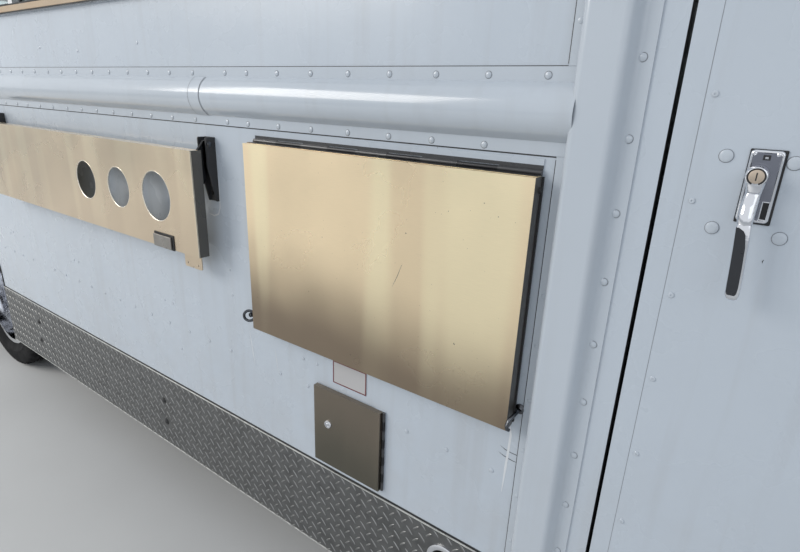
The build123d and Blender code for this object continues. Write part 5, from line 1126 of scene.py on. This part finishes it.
def handle_parts():
    """One handle on the curb door, as meshes by material."""
    metal, black, face, floor_mesh, inlay = Mesh(), Mesh(), Mesh(), Mesh(), Mesh()
    (x0, x1), (z0, z1) = HANDLE_X, HANDLE_Z
    slab(black, (x0 - 1.2, -1182.4, z0 - 3.0), (x1 + 3.0, -1180.0, z1 + 1.0), 1.0)
    # Dished plate: a rim in stepped rounded rectangles round a darker floor
    rings = [plate_ring(*level) for level in PLATE_LEVELS]
    steps = len(rings[0])
    metal.add([p for ring in rings for p in ring], quads_between(len(rings), steps))
    floor_mesh.add(plate_ring(4.0, -1185.5, 3.4), [tuple(range(steps))])
    for at in PLATE_SCREWS:
        lathe(metal, at, CURB, PLATE_SCREW_HEAD, 12)
    slab(black, (1742.5, -1186.3, 1587.5), (1751.5, -1185.3, 1594.5), 0.3)
    slab(metal, (1745, -1187.4, 1589), (1749, -1186.1, 1592), 0.4)
    # Pocket for the thumb beside the lever's waist
    for low, high in POCKET_BARS:
        slab(metal, low, high, 0.4)
    slab(black, (1756, -1186.2, 1505.4), (1763.6, -1185.2, 1529.6), 0.2)
    # Lever: a round head with the lock, a waist, and the grip with its dark inlay
    block_loft(metal, LEVER_HEAD, power=2.4)
    block_loft(metal, LEVER_GRIP, 24, 5.0)
    lathe(metal, LOCK_CENTRE, CURB, LOCK_BODY, 36)
    x, y, z = LOCK_CENTRE
    lathe(black, (x, y - 30, z), CURB, ((11.4, -0.9), (9.2, -0.9)), 32)
    lathe(face, (x, y - 30, z), CURB, LOCK_FACE, 32)
    slab(black, (x - 0.8, y - 30.3, z - 5.5), (x + 0.8, y - 29.8, z + 5.5), 0.1)
    front, back = [], []
    for z, left, right in LEVER_INLAY:
        front_y = -1226.2 - INLAY_LIFT - (1496 - z) * 0.042
        front += [(left, front_y, z), (right, front_y, z)]
        back += [(left - 0.3, front_y + 3.0, z), (right + 0.3, front_y + 3.0, z)]
    count = len(LEVER_INLAY)
    rim = [2 * i for i in range(count)] + [2 * i + 1 for i in range(count)][::-1]
    inlay.add(front + back, [(2 * i, 2 * i + 2, 2 * i + 3, 2 * i + 1) for i in range(count - 1)]
              + [(rim[i - 1], rim[i], 2 * count + rim[i], 2 * count + rim[i - 1]) for i in range(2 * count)])
    return {"metal": metal, "black": black, "lock": face, "floor": floor_mesh, "inlay": inlay}


REAR_SHIFT = (REAR_X - WALL_Y, 1407)


def turned_back(mesh):
    """The curb door's handle turned to face backwards on the rear door."""
    made = Mesh()
    made.points = [(y + REAR_SHIFT[0], REAR_SHIFT[1] - x, z) for x, y, z in mesh.points]
    made.faces = list(mesh.faces)
    return made


lock_face = plain_metal("lock_face", (0.62, 0.52, 0.42), 0.35, 0.3)
HANDLE_LOOKS = {
    "metal": (chrome, "chrome"), "black": (rubber, "black_plastic"), "lock": (lock_face, "chrome"),
    "floor": (plate_floor, "chrome"), "inlay": (dark_inlay, "black_plastic"),
}
HANDLE_PLACES = (
    ("curb", "cab_door_curb", "door_handle_curb", None),
    ("street", "cab_door_street", "door_handle_street", Mesh.mirrored),
    ("rear", "rear_door", "rear_door_handle", turned_back),
)
handle = handle_parts()
for name, body, node, move in HANDLE_PLACES:
    for part, (material, slot) in HANDLE_LOOKS.items():
        part_mesh = move(handle[part]) if move else handle[part]
        made = piece(f"handle_{part}_{name}", part_mesh, material, body, 50)
        if part == "metal":
            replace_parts(made, node)

# Driver's seat: a pedestal with rails and a pan, and two sewn cushions filled by pressure

CUSHION_CELL = 12.0
EDGE_ROUND = 20.0
SIDE_PULL = 9.0
CROWN = 8.0
CHANNEL_DEPTH = 9.0
PIPING = 3.2
FILL_PRESSURE = 8.0
FILL_FRAMES = 20
MOST_MOVE = 0.016
SEAT_Y = 620


def lattice_box(counts):
    """Whole-number places on the surface of a box of cells, and the faces between them."""
    index, faces = {}, []
    for axis in range(3):
        a, b = (axis + 1) % 3, (axis + 2) % 3
        for end in (0, counts[axis]):
            for i in range(counts[a]):
                for j in range(counts[b]):
                    ring = []
                    for step_a, step_b in ((0, 0), (1, 0), (1, 1), (0, 1)):
                        key = [0, 0, 0]
                        key[axis], key[a], key[b] = end, i + step_a, j + step_b
                        ring.append(index.setdefault(tuple(key), len(index)))
                    faces.append(ring if end else ring[::-1])
    return list(index), faces


def unfilled(size, counts, keys, sewn):
    """A cushion before it is filled: rounded edges, sides drawn in between the corners, a crowned top."""
    half = [length / 2 for length in size]
    points = []
    for key in keys:
        share = [2 * k / n - 1 for k, n in zip(key, counts)]
        flat = Vector([s * h for s, h in zip(share, half)])
        core = Vector([min(max(f, EDGE_ROUND - h), h - EDGE_ROUND) for f, h in zip(flat, half)])
        point = core + (flat - core).normalized() * EDGE_ROUND
        u, v, w = share
        point.x -= SIDE_PULL * u * (1 - v * v)
        point.y -= SIDE_PULL * v * (1 - u * u)
        point.z += CROWN * (1 - u * u) * (1 - v * v) * max(w, 0)
        if key in sewn:
            point.z -= CHANNEL_DEPTH
        points.append(point)
    return points


def worked(points, faces, kind, set_up):
    """The mesh that a modifier makes of points and faces, in metres, and nothing left behind."""
    scene = bpy.context.scene
    data = bpy.data.meshes.new("working")
    data.from_pydata(points, [], faces)
    made = bpy.data.objects.new("working", data)
    scene.collection.objects.link(made)
    set_up(made, made.modifiers.new("working", kind))
    result = bpy.data.meshes.new_from_object(made.evaluated_get(bpy.context.evaluated_depsgraph_get()))
    out = ([v.co.copy() for v in result.vertices], [tuple(f.vertices) for f in result.polygons])
    bpy.data.objects.remove(made)
    bpy.data.meshes.remove(data)
    bpy.data.meshes.remove(result)
    return out


def filled(start, faces, held):
    """Points after pressure has filled the form, held at the seams, none moved further than allowed."""
    def fill(made, cloth):
        made.vertex_groups.new(name="sewn").add(held, 1.0, "REPLACE")
        settings = cloth.settings
        settings.vertex_group_mass = "sewn"
        settings.use_pressure = True
        settings.uniform_pressure_force = FILL_PRESSURE
        settings.effector_weights.gravity = 0
        cloth.point_cache.frame_start = 1
        cloth.point_cache.frame_end = FILL_FRAMES
        for frame in range(1, FILL_FRAMES + 1):
            bpy.context.scene.frame_set(frame)

    moved = worked(start, faces, "CLOTH", fill)[0]
    bpy.context.scene.frame_set(1)
    points = []
    for before, after in zip(start, moved):
        step = after - before
        points.append(before + step * min(1, MOST_MOVE / max(step.length, 1e-9)))
    return points


def cushion(name, size, place, columns, rows, rests):
    """A sewn cushion: seams along it at the columns and across it at the rows; flat where it rests."""
    counts = [round(length / CUSHION_CELL) for length in size]
    keys, faces = lattice_box(counts)
    wide, long, top = counts
    across = [round(wide * share) for share in columns]
    along = [round(long * share) for share in rows]
    sewn = {key for key in keys if key[2] == top and 0 < key[1] < long
            and (key[0] in across or key[1] in along and across[0] <= key[0] <= across[-1])}
    walk = [(i, 0) for i in range(wide)] + [(wide, j) for j in range(long)]
    walk += [(wide - i, long) for i in range(wide)] + [(0, long - j) for j in range(long)]
    edges = {(i, j, level) for i, j in walk for level in (0, top)}
    start = [place(*point) * MM for point in unfilled(size, counts, keys, sewn)]
    held = [n for n, key in enumerate(keys) if key in sewn or key in edges or rests and key[2] == 0]
    points = filled(start, faces, held)
    number = {key: n for n, key in enumerate(keys)}
    piping = Mesh()
    for level in (0, top):
        tube(piping, [points[number[i, j, level]] / MM for i, j in walk], PIPING, 8, True)

    def subdivide(made, modifier):
        modifier.levels = 1

    points, faces = worked(points, faces, "SUBSURF", subdivide)
    body = Mesh()
    body.add([point / MM for point in points], faces)
    made = piece(name, body, vinyl, angle=180)
    return made, piece(f"{name}_piping", piping, piping_vinyl)


CUSHION_SIZE = (454, 434, 88)
CUSHION_ROWS = (0.25, 0.5, 0.75)
BACK_SIZE = (434, 640, 76)
BACK_ROWS = (0.2, 0.4, 0.6, 0.8)
SEAM_COLUMNS = (0.22, 0.78)
BACK_FOOT = Vector((2107.5, SEAT_Y, 1240))
BACK_UP = Vector((-82.5, 0, 640)).normalized()
BACK_OUT = Vector((640, 0, 82.5)).normalized()
# Blocks of the pedestal as low corner, high corner and broken edge: foot, box, two rails and pan
SEAT_BLOCKS = (
    ((2120, 470, 780), (2440, 770, 792), 2),
    ((2134, 484, 792), (2426, 756, 1100), 8),
    ((2120, 496, 1100), (2440, 520, 1130), 3),
    ((2120, 720, 1100), (2440, 744, 1130), 3),
    ((2068, 398, 1130), (2492, 842, 1137), 2),
)
SEAT_BOLTS_X = (2150, 2410)
SEAT_BOLTS_Y = (477, 763)
SEAT_BOLT_HEAD = ((6, 0), (6, 4), (4.6, 5), (0, 5.4))


def on_cushion(across, ahead, up):
    """A point of the seat's cushion, from its middle."""
    return Vector((2280 - ahead, SEAT_Y + across, 1180 + up))


def on_back(across, up, out):
    """A point of the seat's back, from its middle."""
    return BACK_FOOT + Vector((0, across, 0)) + BACK_UP * (up + 316) + BACK_OUT * (out - 2)


piping_vinyl = moulded("piping_vinyl", (0.030, 0.031, 0.034), 0.45, grain=0.0002, scale=420)
seat_base = Mesh()
for low, high, edge in SEAT_BLOCKS:
    slab(seat_base, low, high, edge)
for x in SEAT_BOLTS_X:
    for y in SEAT_BOLTS_Y:
        lathe(seat_base, (x, y, 792), (0, 0, 1), SEAT_BOLT_HEAD, 6)
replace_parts(piece("seat_base", seat_base, chassis), "driver_seat")
cushion("seat_cushion", CUSHION_SIZE, on_cushion, SEAM_COLUMNS, CUSHION_ROWS, True)
cushion("seat_back", BACK_SIZE, on_back, SEAM_COLUMNS, BACK_ROWS, False)

# Lamps

clear_lens = clear("lamp_glass", (0.93, 0.95, 0.96))
red_lens = moulded("red_lens", (0.42, 0.012, 0.010), 0.12, grain=0.00002, dust=0.06)
amber_lens = moulded("amber_lens", (0.60, 0.16, 0.008), 0.12, grain=0.00002, dust=0.06)
white_lens = moulded("white_lens", (0.62, 0.62, 0.60), 0.14, grain=0.00002, dust=0.06)


HEADLAMP_Z = 940
HEADLAMP_TRIM = ((108, -8), (108, 6), (105, 10), (97, 12), (90, 8), (87.5, 2), (87.5, -10))
HEADLAMP_BOWL = ((87, -2), (80, -14), (62, -30), (34, -40), (18, -42), (18, -34), (11, -24), (0, -21))
FRONT_LAMP_Y = 800
TURN_LAMP_Z = 1130
TURN_LAMP_RING = ((54, -6), (54, 2), (50, 5), (44, 4), (42, -2))
REAR_LAMP_Y = 1010
RED_LAMP_Z = 1160
REAR_AMBER_Z = 1030
REVERSE_LAMP_Z = 900
REAR_LAMP_RING = ((62, -0.5), (62, 2), (58, 6), (52, 5), (50, -2))


def nose_x(z):
    """X of the nose's sloping face at a height."""
    return 3620 - 40 * (z - 405) / 885


def headlamp(y):
    """Trim, bowl and domed lens of a round headlamp."""
    at = (nose_x(HEADLAMP_Z), y, HEADLAMP_Z)
    trim, bowl, lens = Mesh(), Mesh(), Mesh()
    lathe(trim, at, FRONT, HEADLAMP_TRIM, 56)
    lathe(bowl, at, FRONT, HEADLAMP_BOWL, 48)
    turns = [1.37 * (8 - k) / 8 for k in range(9)]
    outer = [(86.5 * math.sin(t), 3 + 15 * (math.cos(t) - 0.2)) for t in turns]
    inner = [(r * 0.97, h - 3) for r, h in outer[::-1]]
    lathe(lens, at, FRONT, outer + inner[1:] + [(outer[0][0], outer[0][1])], 48)
    return trim, bowl, lens


def round_lens(mesh, at, normal, radius):
    """A moulded lens: a stepped rim and rings on its face."""
    rows = [(radius, -6), (radius, 3), (radius - 2, 5)]
    rings = 6
    for k in range(rings):
        r = (radius - 3) * (1 - k / rings)
        rows += [(r, 6.2 + k * 0.35), (r - 2, 7.4 + k * 0.35)]
    rows.append((0, 9))
    lathe(mesh, at, normal, rows, 40)


head_trim, head_bowl, head_lens = Mesh(), Mesh(), Mesh()
amber, red, white_mesh, lamp_rings = Mesh(), Mesh(), Mesh(), Mesh()
for side in (-1, 1):
    for total, part in zip((head_trim, head_bowl, head_lens), headlamp(side * FRONT_LAMP_Y)):
        total.join(part)
    turn_at = (nose_x(TURN_LAMP_Z), side * FRONT_LAMP_Y, TURN_LAMP_Z)
    round_lens(amber, turn_at, FRONT, 41.5)
    lathe(lamp_rings, turn_at, FRONT, TURN_LAMP_RING, 40)
    for z, lens_mesh in ((RED_LAMP_Z, red), (REAR_AMBER_Z, amber), (REVERSE_LAMP_Z, white_mesh)):
        round_lens(lens_mesh, (REAR_X, side * REAR_LAMP_Y, z), BACK, 49.5)
        lathe(lamp_rings, (REAR_X, side * REAR_LAMP_Y, z), BACK, REAR_LAMP_RING, 40)
lens_piece = piece("headlamp_lenses", head_lens, clear_lens, angle=60)
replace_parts(lens_piece, "lamps")
piece("headlamp_bezels", head_trim, chrome)
piece("headlamp_bowls", head_bowl, chrome, angle=60)
piece("amber_lenses", amber, amber_lens)
piece("red_lenses", red, red_lens)
piece("reverse_lenses", white_mesh, white_lens)
piece("lamp_grommets", lamp_rings, rubber)

# Tyres: grooved tread with shoulder blocks, ribs on the side wall

TYRE_ROWS = (
    (248, -86), (262, -88.5), (274, -95), (290, -104), (306, -111), (309, -113.2), (313, -113.4),
    (316, -112.6), (336, -114), (356, -112.6), (372, -109), (384, -104), (392, -99.5), (398, -92), (400, -84),
    (400, -58), (388, -55), (388, -46), (400, -43), (400.6, -22), (388, -19), (388, -10), (400.6, -7),
    (400.8, 7), (388, 10), (388, 19), (400.6, 22), (400, 43), (388, 46), (388, 55), (400, 58),
    (400, 84), (398, 92), (392, 99.5), (384, 104), (372, 109), (356, 112.6), (336, 114), (316, 112.6),
    (313, 113.4), (309, 113.2), (306, 111), (290, 104), (274, 95), (262, 88.5), (248, 86),
)
TYRE_SEGMENTS = 108
AXLE_Z = 400
GROOVE_DEPTH = 8.5
WHEEL_SIDES = ((1, "left"), (-1, "right"))


def tyre(at_x, at_y):
    """A tyre round its axle's line, grooved at the shoulders in every third segment."""
    mesh = Mesh()
    points = []
    for k in range(TYRE_SEGMENTS):
        t = 2 * math.pi * k / TYRE_SEGMENTS
        c, d = math.cos(t), math.sin(t)
        for radius, across in TYRE_ROWS:
            shoulder = 60 < abs(across) < 100 and radius > 390
            cut = GROOVE_DEPTH if shoulder and k % 3 == 0 else 0.0
            points.append((at_x + (radius - cut) * c, at_y + across, AXLE_Z + (radius - cut) * d))
    mesh.add(points, quads_between(TYRE_SEGMENTS, len(TYRE_ROWS), True))
    return mesh


DUAL_INNER = 711
WHEEL_Y = 973
for side, name in WHEEL_SIDES:
    made = piece(f"tyre_tread_front_{name}", tyre(FRONT_AXLE_X, side * WHEEL_Y), tyre_rubber,
                 f"wheel_front_{name}", 28)
    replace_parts(made, f"tyre_front_{name}")
    both = tyre(REAR_AXLE_X, side * WHEEL_Y).join(tyre(REAR_AXLE_X, side * DUAL_INNER))
    made = piece(f"tyre_tread_rear_{name}", both, tyre_rubber, f"wheels_rear_{name}", 28)
    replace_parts(made, f"tyres_rear_{name}")

# Wheel nuts and hub caps

NUTS = 8
NUT_WASHER = ((13, -0.3), (13, 2.5), (11, 3.5))
NUT = ((11.2, 2.5), (11.2, 16), (9.5, 18.5), (5, 20), (0, 20.4))
FRONT_CAP = ((63, -4), (63, 2), (58, 8), (44, 14), (42, 17), (20, 20), (0, 20.5))
REAR_CAP = ((63, -4), (63, 2), (56, 6), (30, 9), (0, 9.5))
FLANGE_BOLTS = 8
FLANGE_CIRCLE = 85


def wheel_nuts(axle_x, y, side, circle):
    """The nuts of one wheel on their washers."""
    mesh = Mesh()
    for k in range(NUTS):
        t = 2 * math.pi * (k + 0.5) / NUTS
        at = (axle_x + circle * math.cos(t), side * y, AXLE_Z + circle * math.sin(t))
        lathe(mesh, at, (0, side, 0), NUT_WASHER, 18)
        lathe(mesh, at, (0, side, 0), NUT, 6)
    return mesh


for side, name in WHEEL_SIDES:
    piece(f"wheel_nuts_front_{name}", wheel_nuts(FRONT_AXLE_X, 1035, side, 95), chrome,
          f"wheel_front_{name}")
    cap = Mesh()
    lathe(cap, (FRONT_AXLE_X, side * 1069, AXLE_Z), (0, side, 0), FRONT_CAP, 40)
    piece(f"hub_cap_front_{name}", cap, chrome, f"wheel_front_{name}")
    piece(f"wheel_nuts_rear_{name}", wheel_nuts(REAR_AXLE_X, 852, side, 119), chrome,
          f"wheels_rear_{name}")
    cap = Mesh()
    lathe(cap, (REAR_AXLE_X, side * 972, AXLE_Z), (0, side, 0), REAR_CAP, 40)
    for k in range(FLANGE_BOLTS):
        t = 2 * math.pi * k / FLANGE_BOLTS
        at = (REAR_AXLE_X + FLANGE_CIRCLE * math.cos(t), side * 942, AXLE_Z + FLANGE_CIRCLE * math.sin(t))
        hex_head(cap, at, (0, side, 0), 15, 8)
    piece(f"hub_cap_rear_{name}", cap, chrome, f"wheels_rear_{name}")


# Camera

def place_camera():
    yaw, pitch, roll = (math.radians(v) for v in (CAMERA_YAW, CAMERA_PITCH, CAMERA_ROLL))
    forward = Vector((math.sin(yaw) * math.cos(pitch), math.cos(yaw) * math.cos(pitch), math.sin(pitch)))
    right = Vector((math.cos(yaw), -math.sin(yaw), 0))
    up = right.cross(forward)
    right, up = (right * math.cos(roll) + up * math.sin(roll), up * math.cos(roll) - right * math.sin(roll))
    data = bpy.data.cameras.new("camera")
    data.lens = CAMERA_LENS
    data.sensor_width = SENSOR_WIDTH
    data.clip_start = 0.05
    data.clip_end = 200
    camera = bpy.data.objects.new("camera", data)
    turn = Matrix((right, up, -forward)).transposed()
    camera.matrix_world = Matrix.Translation(CAMERA_AT) @ turn.to_4x4()
    bpy.context.scene.collection.objects.link(camera)
    bpy.context.scene.camera = camera


place_camera()


# Floor and light

# Lights as name, place, what they point at, size, power and colour
LIGHTS = (
    ("key", (-5.5, -7.0, 5.2), (0.5, -1.2, 1.0), (5, 4), 390, (1.0, 0.965, 0.91)),
    ("fill", (6.0, -6.5, 4.5), (0.5, -1.2, 1.2), (5, 5), 40, (0.90, 0.95, 1.0)),
    ("back", (-2.0, 8.0, 6.5), (0, 1.2, 1.0), (6, 4), 330, (1, 1, 1)),
)
FLOOR_HALF = 60


def light(name, at, towards, size, power, color):
    data = bpy.data.lights.new(name, "AREA")
    data.shape = "RECTANGLE"
    data.size, data.size_y = size
    data.energy = power
    data.color = color
    lamp = bpy.data.objects.new(name, data)
    lamp.location = at
    lamp.rotation_euler = (Vector(towards) - Vector(at)).to_track_quat("-Z", "Y").to_euler()
    bpy.context.scene.collection.objects.link(lamp)


def floor():
    mesh = bpy.data.meshes.new("floor")
    corners = [(a * FLOOR_HALF, b * FLOOR_HALF, 0) for a, b in ((-1, -1), (1, -1), (1, 1), (-1, 1))]
    mesh.from_pydata(corners, [], [(0, 1, 2, 3)])
    ground = bpy.data.objects.new("floor", mesh)
    bpy.context.scene.collection.objects.link(ground)
    s = Shader("floor", (0.62, 0.62, 0.61), 0.9)
    s.link("Base Color", s.mix(s.span(s.noise(1.2, 5), 0.3, 0.7), (0.60, 0.60, 0.59), (0.64, 0.64, 0.63)))
    mesh.materials.append(s.material)


def backdrop(tree, color, strength):
    """The output of a plain background."""
    made = tree.nodes.new("ShaderNodeBackground")
    made.inputs["Color"].default_value = (*color, 1)
    made.inputs["Strength"].default_value = strength
    return made.outputs[0]


def world():
    """A pale sky, brighter where it is seen or mirrored than where it lights."""
    made = bpy.data.worlds.new("world")
    made.use_nodes = True
    tree = made.node_tree
    tree.nodes.clear()
    path = tree.nodes.new("ShaderNodeLightPath")
    seen = tree.nodes.new("ShaderNodeMath")
    seen.operation = "MAXIMUM"
    tree.links.new(path.outputs["Is Camera Ray"], seen.inputs[0])
    tree.links.new(path.outputs["Is Glossy Ray"], seen.inputs[1])
    both = tree.nodes.new("ShaderNodeMath")
    both.operation = "MAXIMUM"
    tree.links.new(seen.outputs[0], both.inputs[0])
    tree.links.new(path.outputs["Is Transmission Ray"], both.inputs[1])
    mixed = tree.nodes.new("ShaderNodeMixShader")
    tree.links.new(both.outputs[0], mixed.inputs[0])
    tree.links.new(backdrop(tree, (0.86, 0.92, 1.0), 0.76), mixed.inputs[1])
    tree.links.new(backdrop(tree, (0.88, 0.91, 0.95), 0.95), mixed.inputs[2])
    out = tree.nodes.new("ShaderNodeOutputWorld")
    tree.links.new(mixed.outputs[0], out.inputs[0])
    bpy.context.scene.world = made


floor()
world()
for lamp_values in LIGHTS:
    light(*lamp_values)
bpy.context.scene.view_settings.view_transform = "Standard"
